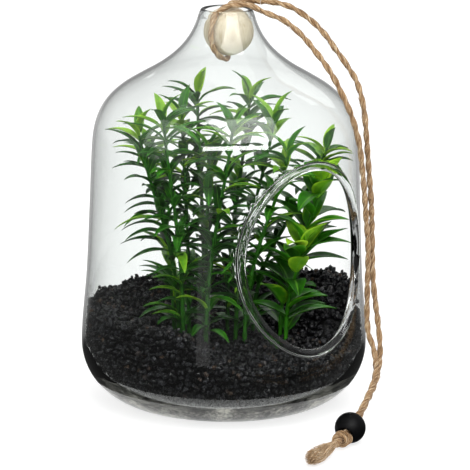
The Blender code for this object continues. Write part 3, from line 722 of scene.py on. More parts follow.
def leaf_room(root, azimuth, pitch, leaf, size):
    """The leaf with a gap round it, to keep it clear of the others: a few stations of four corners, then
    the tip."""
    length = leaf["length"] * size
    outward, across = leaf_axes(azimuth)
    points = []
    place = root + outward * LEAF_ROOT_OFFSET
    reached = 0.0
    for share in BLADE_STATIONS:
        lean = pitch - leaf["droop"] * (reached + share) / 2
        place = place + (outward * cos(lean) + UP * sin(lean)) * length * (share - reached)
        reached = share
        lean = pitch - leaf["droop"] * share
        normal = UP * cos(lean) - outward * sin(lean)
        half_width = leaf["width"] / 2 * max(leaf_spread(share), 0.24) + GAP
        half_thick = leaf["thickness"] / 2 * (1.0 - 0.35 * share) + GAP
        fold = normal * half_width * LEAF_FOLD
        points += [place - across * half_width + fold, place + normal * half_thick]
        points += [place + across * half_width + fold, place - normal * half_thick]
    lean = pitch - leaf["droop"] * (reached + 1) / 2
    points.append(place + (outward * cos(lean) + UP * sin(lean)) * length * (1 - reached))
    last = len(points) - 5
    faces = [(0, 3, 1), (2, 1, 3)]
    for first in range(0, last, 4):
        for edge in (0, 2):
            for ridge in (1, 3):
                faces.append((first + edge, first + ridge, first + ridge + 4))
                faces.append((first + edge, first + ridge + 4, first + edge + 4))
    for corner in range(4):
        faces.append((last + corner, last + (corner + 1) % 4, last + 4))
    return points, faces


def inside_jar(points, inner):
    """Whether all points are clear of the wall, the opening and the gravel."""
    return all(
        hypot(point.x, point.y) <= radius_at(inner, point.z) - LEAF_CLEAR
        and point.y >= LEAF_FRONT_LIMIT
        and point.z >= gravel_level(point.x, point.y) + LEAF_CLEAR
        for point in points
    )


def leaf_plan(leaf):
    """(share of the stem, azimuth, pitch, size) of each leaf: pairs up the stem, then a rosette."""
    plan = []
    azimuth = random.uniform(0, tau)
    for node in range(leaf["nodes"]):
        share = leaf["first"] + (0.9 - leaf["first"]) * node / (leaf["nodes"] - 1)
        azimuth += GOLDEN_ANGLE
        for twin in range(leaf["per_node"]):
            azimuth += tau / leaf["per_node"] + random.uniform(-0.2, 0.2)
            pitch = radians(random.uniform(*PAIR_PITCHES))
            plan.append((share, azimuth, pitch, random.uniform(*PAIR_SIZES)))
    for order in range(leaf["rosette"]):
        azimuth += GOLDEN_ANGLE
        pitch = radians(82 - 58 * order / leaf["rosette"])
        size = 0.72 + 0.38 * order / leaf["rosette"]
        plan.append((0.995 - 0.012 * order, azimuth, pitch, size))
    return plan


def more_leaves(leaf):
    """More leaves between the pairs, and low on the stem."""
    plan = []
    for order in range(leaf["more"]):
        share = MORE_LEAF_START + MORE_LEAF_SPAN * (order + random.random()) / leaf["more"]
        pitch = radians(random.uniform(*MORE_LEAF_PITCHES))
        azimuth = random.uniform(0, tau)
        plan.append((share, azimuth, pitch, random.uniform(*leaf["more_sizes"])))
    return plan


def place_leaves(plan, line, leaf, own, others, inner, tries):
    """Each leaf where it is clear of the glass, the gravel, the opening and the other stems."""
    placed = []
    for share, azimuth, pitch, size in plan:
        along = share * (len(line) - 1)
        index = min(int(along), len(line) - 2)
        root = line[index].lerp(line[index + 1], along - index)
        near = [
            tree for tree, centre in others
            if centre is None or (centre - root).length < NEIGHBOUR_REACH
        ]
        for attempt in range(tries):
            swing = azimuth + attempt * random.uniform(-0.10, 0.10)
            lift = pitch + attempt * random.uniform(-0.02, 0.06)
            length = size * (1 - 0.02 * attempt)
            points, faces = leaf_room(root, swing, lift, leaf, length)
            tree = BVHTree.FromPolygons(points, faces)
            if inside_jar(points, inner) and not any(tree.overlap(other) for other in near):
                own.append((tree, root))
                placed.append((share, root, swing, lift, length))
                break
    return placed


def stem_tree(line):
    """The stem's own room."""
    curve = bpy.data.curves.new("stem_room", "CURVE")
    curve.dimensions = "3D"
    curve.bevel_depth = STEM_RADIUS
    curve.bevel_resolution = 1
    curve.use_fill_caps = True
    spline = curve.splines.new("POLY")
    spline.points.add(len(line) - 1)
    for index, point in enumerate(line):
        spline.points[index].co = (*point, 1.0)
        spline.points[index].radius = 1.0 - 0.3 * index / len(line)
    holder = bpy.data.objects.new("stem_room", curve)
    stage.collection.objects.link(holder)
    bpy.context.view_layer.update()
    mesh = bpy.data.meshes.new_from_object(holder.evaluated_get(bpy.context.evaluated_depsgraph_get()))
    corners = [vertex.co.copy() for vertex in mesh.vertices]
    faces = [list(face.vertices) for face in mesh.polygons]
    bpy.data.objects.remove(holder)
    return BVHTree.FromPolygons(corners, faces)


def add_leaf(shape, placed, leaf, tone):
    """A moulded leaf: a thin arched blade, dished along its rib, that runs out to a fine point."""
    share_up, root, azimuth, pitch, size = placed
    length = leaf["length"] * size
    outward, across = leaf_axes(azimuth)
    ripple = noise.noise(root * 900) * 3
    rings = []
    places = []
    for station in range(FINE_STATIONS + 1):
        share = (station / FINE_STATIONS) ** 0.95
        lean = pitch - leaf["droop"] * share
        run = (sin(pitch) - sin(lean)) / leaf["droop"] * length
        climb = (cos(lean) - cos(pitch)) / leaf["droop"] * length
        middle = root + outward * (LEAF_ROOT_OFFSET + run) + UP * climb
        normal = UP * cos(lean) - outward * sin(lean)
        spread = max(leaf_spread(share), 0.16 * (1 - share) + 0.01)
        half_width = leaf["width"] / 2 * leaf["fullness"] * spread
        thick = 0.5 * leaf["thickness"] * (0.62 - 0.35 * share)
        top = []
        bottom = []
        row = []
        for step in range(FINE_ACROSS):
            side = 2 * step / (FINE_ACROSS - 1) - 1
            wave = 0.10 * sin(9 * share + 2.2 * side + ripple) * abs(side)
            dish = LEAF_FOLD * (abs(side) ** 1.4 + wave) * half_width
            rib = -0.35 * thick * exp(-(side * 3.2) ** 2)
            edge = thick * (1 - 0.75 * side * side)
            spot = middle + across * half_width * side + normal * (dish + rib)
            top.append(spot + normal * edge)
            bottom.append(spot - normal * edge)
            row.append(((side + 1) / 2, share))
        rings.append(top + bottom[::-1])
        places.append(row + row[::-1])
    shape.skin(rings, places, tone)


def plastic_leaf(name, dark, middle, bright, rib_colour):
    """Polythene, moulded and printed: a satin skin, paler at the rib and the edges, with veins 0.5 to
    0.9 mm apart and a mottle of 6 mm."""
    made = new_material(name)
    place = add_node(made, "UVMap", uv_map="place")
    parts = add_node(made, "SeparateXYZ", {"Vector": place})
    centred = add_node(made, "Math", {0: parts, 1: 0.5}, operation="SUBTRACT")
    off_rib = add_node(made, "Math", {0: centred}, operation="ABSOLUTE")
    tone = add_node(made, "Attribute", attribute_name="tone")
    spot = add_node(made, "TexCoord").outputs["Object"]
    mottle = add_node(made, "TexNoise", {"Vector": spot, "Scale": 1 / 0.006, "Detail": 2.0})
    uneven = add_node(made, "MapRange", {"Value": mottle, "To Min": -0.22, "To Max": 0.22})
    level = add_node(made, "Math", {0: tone.outputs["Fac"], 1: uneven}, operation="ADD")
    towards_edge = add_node(made, "MapRange", {
        "Value": off_rib, "From Min": 0.34, "From Max": 0.5, "To Min": 0.0, "To Max": 0.22,
    })
    level = add_node(made, "Math", {0: level, 1: towards_edge}, operation="ADD")
    green = add_node(made, "ValToRGB", {"Fac": level}, stops=[
        (0.05, srgb(dark)), (1.0, srgb(bright)), (0.55, srgb(middle)),
    ])
    near_rib = add_node(made, "MapRange", {
        "Value": off_rib, "From Min": 0.02, "From Max": 0.07, "To Min": 0.55, "To Max": 0.0,
    })
    leaf_colour = add_node(made, "MixRGB", {0: near_rib, 1: green, 2: srgb(rib_colour)})
    vein_place = add_node(made, "Mapping", {"Vector": place, "Scale": (12, 1.5, 1)})
    veins = add_node(made, "TexNoise", {"Vector": vein_place, "Scale": 1.0, "Detail": 1.0})
    raised = add_node(made, "Bump", {"Height": veins, "Strength": 0.35, "Distance": 0.0004})
    satin = add_node(made, "MapRange", {"Value": mottle, "To Min": 0.28, "To Max": 0.46})
    skin = add_node(made, "BsdfPrincipled", {
        "Base Color": leaf_colour, "Roughness": satin, "Normal": raised, "Specular IOR Level": 0.28,
    })
    add_node(made, "OutputMaterial", {"Surface": skin})
    return made


LEAF_FINISHES = {
    "narrow": (
        "green_leaf", plastic_leaf("dark_green_polythene", "#0d2a08", "#2b6c10", "#96c42a", "#5a9a2f"),
    ),
    "broad": (
        "bright_leaf", plastic_leaf("bright_green_polythene", "#103608", "#35800f", "#a6d430", "#6aa832"),
    ),
}
inner = inner_outline()
lines = {name: stem_line(foot, tip) for name, foot, tip, leaf in STEMS}
trees = {name: [(stem_tree(lines[name]), None)] for name in lines}
placed_leaves = {name: [] for name in lines}
plans = ((LEAF_SEED, leaf_plan, LEAF_TRIES), (MORE_LEAF_SEED, more_leaves, MORE_LEAF_TRIES))
for seed, plan_for, tries in plans:
    random.seed(seed)
    for name, foot, tip, leaf in STEMS:
        others = [tree for other in trees if other != name for tree in trees[other]]
        plan = plan_for(leaf)
        placed_leaves[name] += place_leaves(plan, lines[name], leaf, trees[name], others, inner, tries)
for name, foot, tip, leaf in STEMS:
    shape = Shape()
    line = smooth_route(lines[name], STEM_STEP)
    joints = sorted({share for share, *_ in placed_leaves[name]})
    radii = []
    for index in range(len(line)):
        share = index / (len(line) - 1)
        knuckle = sum(exp(-((share - joint) * len(line) / 0.9) ** 2) for joint in joints)
        radii.append(STEM_RADIUS * (1.0 - 0.45 * share) * (1 + 0.22 * min(knuckle, 1)))
    add_tube(shape, line, radii, STEM_SIDES, STEM_TONE)
    for placed in placed_leaves[name]:
        young = 0.25 * smooth_step(placed[0], 0.75, 1.0)
        tone = 0.12 + young + random.random() ** 2 * 0.62
        add_leaf(shape, placed, leaf, min(tone, PALEST_LEAF))
    patterned_piece(shape, name + "_moulded", LEAF_FINISHES[leaf["kind"]], [name])


# Wooden ball
# A 33 mm ball of pale beech, turned and bored, too big for the neck. Wedged there, it hangs the bottle
# on the rope that goes through its bore.
BALL_RADIUS = 0.0166
BALL_BORE_RADIUS = 0.0028
BALL_EDGE = 0.0006
BALL_STEPS = 96
DOWN_SIDE = Vector((-0.975, -0.222, 0.0))
BALL_CENTRE = Vector((0.0, 0.0, 0.2490)) - DOWN_SIDE * 0.0024
OUTLINE_STEPS = 40
BORE_STEPS = 8


def bored_ball(name, radius, bore, edge, centre, axis, steps, finish, replaced):
    """A turned ball: its round outside, a rounded edge at each end of its bore, and the bore."""
    mouth = asin((bore + edge) / radius)
    outline = []
    for step in range(OUTLINE_STEPS + 1):
        turn = mouth + (pi - 2 * mouth) * step / OUTLINE_STEPS
        outline.append((radius * sin(turn), radius * cos(turn)))
    end = radius * cos(mouth)
    outline.append((bore + 0.3 * edge, -end + 0.25 * edge))
    for step in range(BORE_STEPS + 1):
        outline.append((bore, (-end + edge) * (1 - 2 * step / BORE_STEPS)))
    outline.append((bore + 0.3 * edge, end - 0.25 * edge))
    first = axis.orthogonal().normalized()
    second = axis.cross(first)
    rings = []
    places = []
    for step in range(steps):
        turn = tau * step / steps
        outward = first * cos(turn) + second * sin(turn)
        rings.append([centre + outward * across + axis * along for across, along in outline])
        places.append([(turn * radius, along) for across, along in outline])
    shape = Shape()
    shape.skin(rings, places, closed=True)
    return patterned_piece(shape, name, finish, replaced)


# Beech, turned and sanded, unfinished: cream wood with darker flecks along its axis, over growth rings
# 3 to 9 mm apart. The flecks are drawn 1.1 mm wide and 9 mm long, coarser than beech's own, to show.
beech = new_material("turned_pale_beech")
spot = add_node(beech, "TexCoord").outputs["Object"]
long_place = add_node(beech, "Mapping", {"Vector": spot, "Scale": (1 / 0.0011, 1 / 0.0011, 1 / 0.009)})
flecks = add_node(beech, "TexNoise", {"Vector": long_place, "Scale": 1.0, "Detail": 4.0})
ring_place = add_node(beech, "Mapping", {"Vector": spot, "Scale": (1 / 0.009, 1 / 0.003, 1 / 0.05)})
rings = add_node(beech, "TexNoise", {"Vector": ring_place, "Scale": 1.0, "Detail": 2.0})
both = add_node(beech, "Math", {0: flecks, 1: rings}, operation="ADD")
half = add_node(beech, "Math", {0: both, 1: 0.5}, operation="MULTIPLY")
cream = add_node(beech, "ValToRGB", {"Fac": half}, stops=[
    (0.34, srgb("#ab987a")), (0.66, srgb("#d8cdba")), (0.50, srgb("#c5b8a1")),
])
pores = add_node(beech, "Bump", {"Height": flecks, "Strength": 0.2, "Distance": 0.0001})
skin = add_node(beech, "BsdfPrincipled", {"Base Color": cream, "Roughness": 0.45, "Normal": pores})
add_node(beech, "OutputMaterial", {"Surface": skin})
bored_ball(
    "beech_ball", BALL_RADIUS, BALL_BORE_RADIUS, BALL_EDGE, BALL_CENTRE, UP, BALL_STEPS,
    ("pale_wood", beech), ["wooden_ball"],
)


# Rope through the ball
# The middle of one 4 mm jute rope, laid up from two plies of coarse fibre. It goes over the rim and the
# ball's front, down its side, under it, up its bore and back out over the rim.
ROPE_RADIUS = 0.0020
PLIES = 2
PLY_RADIUS = 0.68 * ROPE_RADIUS
PLY_PLACE = 0.32 * ROPE_RADIUS
ROPE_LAY = 0.021
ROPE_STEP = 0.0007
ROPE_SIDES = 40
FIBRE_RADIUS = 0.00007
FIBRE_SPACING = 0.0011
BALL_FIBRE_SPACING = 0.004
WANDERS_PER_METRE = 45
SWELLS_PER_METRE = 110
BUNDLES_PER_METRE = 190
HAIR_STEPS = 5
HAIR_BOW = 0.0012
LONG_HAIR_SHARE = 0.04
LONG_HAIR_REACH = (0.007, 0.011)
LONG_HAIR_LIFT = (0.0013, 0.0022)
SHORT_HAIR_REACH = (0.002, 0.006)
SHORT_HAIR_LIFT = (0.0002, 0.0011)
RIM_SIDE = Vector((0.766, -0.643, 0.0))
OVER_BALL = [
    (0.0140, -0.0176, 0.2640), (0.0124, -0.0156, 0.2652), (0.0092, -0.0136, 0.2672),
    (0.0054, -0.0105, 0.2676), (0.0002, -0.0074, 0.2677), (-0.0064, -0.0046, 0.2658),
]
OFF_BALL = [(0.0115, -0.0077, 0.2692), (0.0181, -0.0128, 0.2688)]
ball_run = BALL_RADIUS + ROPE_RADIUS + GAP
bore_bend = ROPE_RADIUS + 3 * GAP


def ply_rim(turn):
    """How far the rope's surface is from its middle, in a direction across it: its plies side by side."""
    from_ply = (turn + pi / PLIES) % (tau / PLIES) - pi / PLIES
    return PLY_PLACE * cos(from_ply) + sqrt(PLY_RADIUS**2 - (PLY_PLACE * sin(from_ply)) ** 2)


def lay_rope(shape, points, seed, size=1.0):
    """Adds a laid rope along the points. Its plies swell and wander a little, as spun jute does."""
    rings = []
    places = []
    for point, (travelled, along, across, other) in zip(points, carried_frames(points)):
        wander = noise.noise(Vector((travelled * WANDERS_PER_METRE, seed, 0)))
        twist = tau * travelled / ROPE_LAY + 0.9 * wander
        ring = []
        row = []
        for side in range(ROPE_SIDES):
            turn = tau * side / ROPE_SIDES
            ply = int(side * PLIES / ROPE_SIDES)
            swell = 1 + 0.10 * noise.noise(Vector((travelled * SWELLS_PER_METRE, ply * 3.1, seed)))
            spot = Vector((cos(turn) * 5, sin(turn) * 5, travelled * BUNDLES_PER_METRE + seed))
            thick = min(swell + 0.09 * noise.noise(spot), 1.05)
            radius = ply_rim(turn + pi / PLIES) * size * thick
            direction = across * cos(turn + twist) + other * sin(turn + twist)
            ring.append(point + direction * radius)
            row.append((turn * ROPE_RADIUS, travelled))
        rings.append(ring)
        places.append(row)
    shape.skin(rings, places)


def add_loose_fibres(shape, points, seed, spacing=FIBRE_SPACING):
    """Adds hairs that stand off the rope: short and nearly flat, with a long one now and then."""
    draw = random.Random(seed)
    frames = carried_frames(points)
    length = frames[-1][0]
    for _ in range(int(length / spacing)):
        index = draw.randrange(2, len(points) - 2)
        travelled, along, across, other = frames[index]
        turn = draw.uniform(0, tau)
        outward = across * cos(turn) + other * sin(turn)
        sideways = along.cross(outward)
        long = draw.random() < LONG_HAIR_SHARE
        reach = draw.uniform(*(LONG_HAIR_REACH if long else SHORT_HAIR_REACH))
        lift = draw.uniform(*(LONG_HAIR_LIFT if long else SHORT_HAIR_LIFT))
        bow = draw.uniform(-HAIR_BOW, HAIR_BOW)
        heading = draw.choice((-1, 1))
        hair = []
        for step in range(HAIR_STEPS + 1):
            share = step / HAIR_STEPS
            rise = ROPE_RADIUS * 0.8 + lift * share**1.5
            swing = bow * sin(pi * share)
            beside = min(max(index + round(heading * reach * share / ROPE_STEP), 0), len(points) - 1)
            hair.append(points[beside] + outward * rise + sideways * swing)
        radii = [FIBRE_RADIUS] * HAIR_STEPS + [FIBRE_RADIUS / 3]
        add_tube(shape, hair, radii, 3, shift=draw.random())


def jute_fibre(name, hollow, deep, tan, pale):
    """Jute, spun without dye: dry tan fibres, each its own shade, dull between the plies. Bundles are
    1 mm wide and 11 mm long. Fibres are drawn 0.3 mm wide and 4 mm long, coarser than jute's, to show."""
    made = new_material(name)
    place = add_node(made, "UVMap", uv_map="place")
    fibre_place = add_node(made, "Mapping", {"Vector": place, "Scale": (1 / 0.0003, 1 / 0.004, 1)})
    fibres = add_node(made, "TexNoise", {
        "Vector": fibre_place, "Scale": 1.0, "Detail": 3.0, "Roughness": 0.6,
    })
    bundle_place = add_node(made, "Mapping", {"Vector": place, "Scale": (1 / 0.001, 1 / 0.011, 1)})
    bundles = add_node(made, "TexNoise", {
        "Vector": bundle_place, "Scale": 1.0, "Detail": 4.0, "Roughness": 0.7,
    })
    mixed = add_node(made, "Math", {0: bundles, 1: 1.6}, operation="MULTIPLY")
    mixed = add_node(made, "Math", {0: mixed, 1: fibres}, operation="ADD")
    shades = add_node(made, "MapRange", {"Value": mixed, "From Min": 1.0, "From Max": 1.6})
    colour = add_node(made, "ValToRGB", {"Fac": shades}, stops=[
        (0.02, srgb(hollow)), (1.0, srgb(pale)), (0.40, srgb(deep)), (0.68, srgb(tan)),
    ])
    rough = add_node(made, "Bump", {"Height": mixed, "Strength": 0.9, "Distance": 0.0004})
    skin = add_node(made, "BsdfPrincipled", {
        "Base Color": colour, "Roughness": 0.9, "Normal": rough,
        "Specular IOR Level": 0.2, "Sheen Weight": 0.1, "Sheen Roughness": 0.5,
    })
    add_node(made, "OutputMaterial", {"Surface": skin})
    return made


jute = jute_fibre("laid_natural_jute", "#4f3823", "#8a6a4a", "#b3946e", "#e2d0b2")
JUTE_FINISH = ("jute", jute)

route = [Vector(point) for point in OVER_BALL]
for turn in (40, 20, 0, -20, -45, -68):
    angle = radians(turn)
    route.append(BALL_CENTRE + DOWN_SIDE * ball_run * cos(angle) + UP * ball_run * sin(angle))
for turn in (-90, -135, -180):
    angle = radians(turn)
    middle = BALL_CENTRE + DOWN_SIDE * bore_bend + UP * (bore_bend - ball_run)
    route.append(middle + DOWN_SIDE * bore_bend * cos(angle) + UP * bore_bend * sin(angle))
route.append(BALL_CENTRE.copy())
for turn in (180, 135, 90):
    angle = radians(turn)
    middle = BALL_CENTRE + RIM_SIDE * bore_bend + UP * (ball_run - bore_bend)
    route.append(middle + RIM_SIDE * bore_bend * cos(angle) + UP * bore_bend * sin(angle))
route += [Vector(point) for point in OFF_BALL]
points = smooth_route(route, ROPE_STEP)
shape = Shape()
lay_rope(shape, points, 31)
add_loose_fibres(shape, points, 32, BALL_FIBRE_SPACING)
patterned_piece(shape, "rope_loop_in_neck", JUTE_FINISH, ["rope_through_ball"])


# Rope strands
# The rope's two halves come off the rim side by side, hang down the outside and lie forward on the
# surface to the bead, held by nothing on the way.
INNER_STRAND = [
    (0.0140, -0.0176, 0.2640), (0.0165, -0.0204, 0.2625), (0.0231, -0.0299, 0.2584),
    (0.0272, -0.0372, 0.2531), (0.0308, -0.0442, 0.2464), (0.0336, -0.0491, 0.2401),
    (0.0357, -0.0547, 0.2341), (0.0372, -0.0600, 0.2280), (0.0383, -0.0648, 0.2220),
    (0.0397, -0.0692, 0.2146), (0.0412, -0.0737, 0.2065), (0.0436, -0.0771, 0.1967),
    (0.0464, -0.0783, 0.1866), (0.0494, -0.0782, 0.1762), (0.0532, -0.0787, 0.1490),
    (0.0551, -0.0792, 0.1285), (0.0565, -0.0801, 0.1082), (0.0550, -0.0816, 0.0794),
    (0.0518, -0.0866, 0.0550), (0.0489, -0.0959, 0.0445), (0.0406, -0.1071, 0.0349),
    (0.0310, -0.1148, 0.0288), (0.0193, -0.1219, 0.0231), (0.0096, -0.1268, 0.0177),
]
OUTER_STRAND = [
    (0.0181, -0.0128, 0.2688), (0.0217, -0.0157, 0.2688), (0.0271, -0.0207, 0.2680),
    (0.0323, -0.0273, 0.2657), (0.0369, -0.0349, 0.2611), (0.0411, -0.0423, 0.2550),
    (0.0447, -0.0492, 0.2476), (0.0473, -0.0553, 0.2396), (0.0500, -0.0603, 0.2327),
    (0.0518, -0.0643, 0.2271), (0.0535, -0.0684, 0.2208), (0.0543, -0.0717, 0.2133),
    (0.0551, -0.0750, 0.2017), (0.0556, -0.0767, 0.1886), (0.0576, -0.0771, 0.1683),
    (0.0609, -0.0772, 0.1409), (0.0618, -0.0780, 0.1138), (0.0613, -0.0802, 0.0884),
    (0.0604, -0.0846, 0.0696), (0.0584, -0.0898, 0.0557), (0.0542, -0.0961, 0.0430),
    (0.0440, -0.1053, 0.0318), (0.0330, -0.1128, 0.0252), (0.0210, -0.1196, 0.0194),
    (0.0113, -0.1246, 0.0138),
]
BEAD_RADIUS = 0.010
BEAD_CENTRE = Vector((-0.0042, -0.1320, 0.0100))
BEAD_AXIS = Vector((-0.86, -0.40, -0.32)).normalized()
STRAND_OFFSET = 0.00215
OUTER_STRAND_SIDE = Vector((0.37, 0.44, -0.82))
STRAND_END = 0.0100
INNER_LENGTH = 0.340
OUTER_LENGTH = 0.356


def strand_route(knots, side):
    """A strand's own way: from just past the rope on the ball to its place in the bead's bore."""
    across = OUTER_STRAND_SIDE - BEAD_AXIS * OUTER_STRAND_SIDE.dot(BEAD_AXIS)
    across = across.normalized() * STRAND_OFFSET * side
    knots = [Vector(knot) for knot in knots]
    knots[0] += (knots[1] - knots[0]).normalized() * GAP
    for travel in (-0.6 * BEAD_RADIUS, 0.2 * BEAD_RADIUS, STRAND_END):
        knots.append(BEAD_CENTRE + BEAD_AXIS * travel + across)
    return smooth_route(knots, ROPE_STEP)


strands = {}
for name, knots, side, seed in (("inner", INNER_STRAND, -1, 3), ("outer", OUTER_STRAND, 1, 8)):
    points = strand_route(knots, side)
    shape = Shape()
    lay_rope(shape, points, seed)
    add_loose_fibres(shape, points, seed)
    strand = patterned_piece(shape, "strand_" + name, JUTE_FINISH, ["rope_strand_" + name])
    strands[name] = (strand, points)


# Knot
# The two strands tied together in one overhand knot behind the bead, which keeps the bead on: the same
# rope goes round itself nearly three times, drawn tight, with its turns slanted.
KNOT_CENTRE = Vector((-0.0198, -0.1392, 0.0062))
KNOT_HALF_LENGTH = 0.0072
KNOT_TURNS = 2.9
KNOT_TURN_RADIUS = 0.0036
KNOT_ROPE_SIZE = 0.94
KNOT_SLANT = 0.0016
KNOT_POINTS = 110
KNOT_FIRST_ANGLE = 0.6
KNOT_STILL_TURNS = 1.05
KNOT_INNER_RADIUS = 0.0008
KNOT_BACK = 0.0064
KNOT_TRAVEL = 0.0108
KNOT_WIDE = 1.26
KNOT_HIGH = 0.86
KNOT_CORE_SIZE = 1.25
rope_end_axis = Vector((BEAD_AXIS.x, BEAD_AXIS.y, 0)).normalized()
knot_side = UP.cross(rope_end_axis)

turns = []
for step in range(KNOT_POINTS + 1):
    share = step / KNOT_POINTS
    angle = tau * KNOT_TURNS * share + KNOT_FIRST_ANGLE
    later = max(share * KNOT_TURNS - KNOT_STILL_TURNS, 0) / (KNOT_TURNS - KNOT_STILL_TURNS)
    spread = min(1.0, share / 0.04, (1 - share) / 0.25) ** 0.7
    radius = KNOT_INNER_RADIUS + (KNOT_TURN_RADIUS - KNOT_INNER_RADIUS) * spread
    forward = -KNOT_BACK + KNOT_TRAVEL * later + KNOT_SLANT * cos(angle + 0.9) * min(later * 3, 1)
    turned = knot_side * cos(angle) * KNOT_WIDE + UP * sin(angle) * KNOT_HIGH
    turns.append(KNOT_CENTRE + rope_end_axis * forward + turned * radius)
core = [KNOT_CENTRE + rope_end_axis * KNOT_HALF_LENGTH * share for share in (-0.95, -0.4, 0.1, 0.6, 0.95)]
shape = Shape()
lay_rope(shape, turns, 21, KNOT_ROPE_SIZE)
lay_rope(shape, smooth_route(core, ROPE_STEP), 22, KNOT_CORE_SIZE)
add_loose_fibres(shape, turns, 23)
knot = patterned_piece(shape, "overhand_knot", JUTE_FINISH, ["rope_knot"])


# Frayed tail
# Past the knot the rope's plies are combed out: locks and single fibres of jute, which spread from the
# knot to a blunt brush that rests on the surface.
TAIL_LENGTH = 0.038
TAIL_ROOT_RADIUS = 0.0019
TAIL_END_RADIUS = 0.0052
TAIL_LOCKS = 64
TAIL_FIBRES = 460
TAIL_LOWEST = 0.0004
TAIL_STEPS = 12
LOCK_RADII = (0.00035, 0.0006)
LOCK_SHARES = (0.84, 0.95)
TAIL_FIBRE_RADII = (0.00007, 0.00014)
TAIL_FIBRE_SHARES = (0.8, 1.0)

tail_start = KNOT_CENTRE + rope_end_axis * (KNOT_HALF_LENGTH - 0.0015)
tail_drop = tail_start.z - TAIL_END_RADIUS - GAP
tail_bend = Vector((-0.0027, 0.0010, 0))
draw = random.Random(5)
shape = Shape()
for number in range(TAIL_LOCKS + TAIL_FIBRES):
    lock = number < TAIL_LOCKS
    turn = draw.uniform(0, tau)
    out = sqrt(draw.uniform(0.0, 1.0))
    length = TAIL_LENGTH * (1.0 - 0.14 * out**3)
    length *= draw.uniform(*(LOCK_SHARES if lock else TAIL_FIBRE_SHARES))
    thick = draw.uniform(*(LOCK_RADII if lock else TAIL_FIBRE_RADII))
    swirl = draw.uniform(-0.5, 0.5)
    wave = draw.uniform(0, tau)
    line = []
    for step in range(TAIL_STEPS + 1):
        share = step / TAIL_STEPS
        swell = TAIL_ROOT_RADIUS + (TAIL_END_RADIUS - TAIL_ROOT_RADIUS) * sin(share * 1.75) ** 1.5
        middle = tail_start + rope_end_axis * length * share - UP * tail_drop * share
        middle += tail_bend * share**2
        around = turn + swirl * share + 0.16 * sin(7 * share + wave)
        reach = max(swell - thick, 0) * out * (1 + 0.12 * sin(9 * share + 2 * wave))
        spot = middle + (knot_side * cos(around) + UP * sin(around)) * reach
        spot.z = max(spot.z, TAIL_LOWEST + thick)
        line.append(spot)
    taper = 0.75 if lock else 0.4
    radii = [thick * min(1, 1.25 - step / TAIL_STEPS * taper) for step in range(TAIL_STEPS + 1)]
    add_tube(shape, line, radii, 6 if lock else 3, shift=draw.random())

# Jute combed out of its twist: the same fibre with painted light, its shades paler than the rope's to
# stand for the light that reaches between the strands.
combed_jute_painted_light = jute_fibre("combed_jute_with_painted_light", "#6e4f34", "#b08f6a", "#d8bc96", "#f6e9d2")
tail = patterned_piece(shape, "frayed_tail", ("jute", combed_jute_painted_light), ["rope_tail"])


# Bead
# A 20 mm wooden bead, turned and bored, dipped in matt black paint that fills its grain. Both strands
# go through its bore, and the knot stops it.
BEAD_BORE_RADIUS = 0.0046
BEAD_EDGE = 0.0007
BEAD_STEPS = 72

# Matt black paint on wood: deep black with one soft, wide highlight. The grain under it is drawn 1.2 mm
# wide, coarser than the real one, so that it shows.
paint = new_material("matt_black_painted_wood")
spot = add_node(paint, "TexCoord").outputs["Object"]
grain = add_node(paint, "TexNoise", {"Vector": spot, "Scale": 1 / 0.0012, "Detail": 3.0})
wear = add_node(paint, "MapRange", {"Value": grain, "To Min": 0.42, "To Max": 0.52})
shade = add_node(paint, "ValToRGB", {"Fac": grain}, stops=[
    (0.3, srgb("#040405")), (0.8, srgb("#08080a")),
])
dents = add_node(paint, "Bump", {"Height": grain, "Strength": 0.25, "Distance": 0.0001})
skin = add_node(paint, "BsdfPrincipled", {
    "Base Color": shade, "Roughness": wear, "Normal": dents, "Specular IOR Level": 0.14,
})
add_node(paint, "OutputMaterial", {"Surface": skin})

bead = bored_ball(
    "black_bead", BEAD_RADIUS, BEAD_BORE_RADIUS, BEAD_EDGE, BEAD_CENTRE, BEAD_AXIS, BEAD_STEPS,
    ("black_wood", paint), ["bead"],
)
for name, length in (("inner", INNER_LENGTH), ("outer", OUTER_LENGTH)):
    strand, points = strands[name]


# Studio
# A plain white floor that runs out of sight, with soft white boxes of light round it. A long lens, a
# little above the rim, looks at the opening from its left: the photograph's own view.
CAMERA_AIM = Vector((0, 0, 0.128))
CAMERA_SIDE = radians(-40)
CAMERA_RISE = radians(13)
CAMERA_DISTANCE = 2.0
CAMERA_LENS = 229.8
CAMERA_LEAN = radians(0.5)
CAMERA_SHIFT = (0.0215, -0.0511)

towards_camera = Vector((
    sin(CAMERA_SIDE) * cos(CAMERA_RISE),
    -cos(CAMERA_SIDE) * cos(CAMERA_RISE),
    sin(CAMERA_RISE),
))
camera = bpy.data.objects.new("camera", bpy.data.cameras.new("camera"))
camera.data.lens = CAMERA_LENS
camera.data.shift_x, camera.data.shift_y = CAMERA_SHIFT
camera.data.clip_end = 50
camera.location = CAMERA_AIM + towards_camera * CAMERA_DISTANCE
camera.rotation_mode = "QUATERNION"
camera.rotation_quaternion = towards_camera.to_track_quat("Z", "Y") @ Quaternion((0, 0, 1), CAMERA_LEAN)
stage.collection.objects.link(camera)
stage.camera = camera

FLOOR_SIZE = 14.0
FLOOR_DROP = 0.0002
CARD_RADIUS = 0.090
CARD_DROP = 0.0001
level_view = Vector((sin(CAMERA_SIDE), -cos(CAMERA_SIDE), 0))


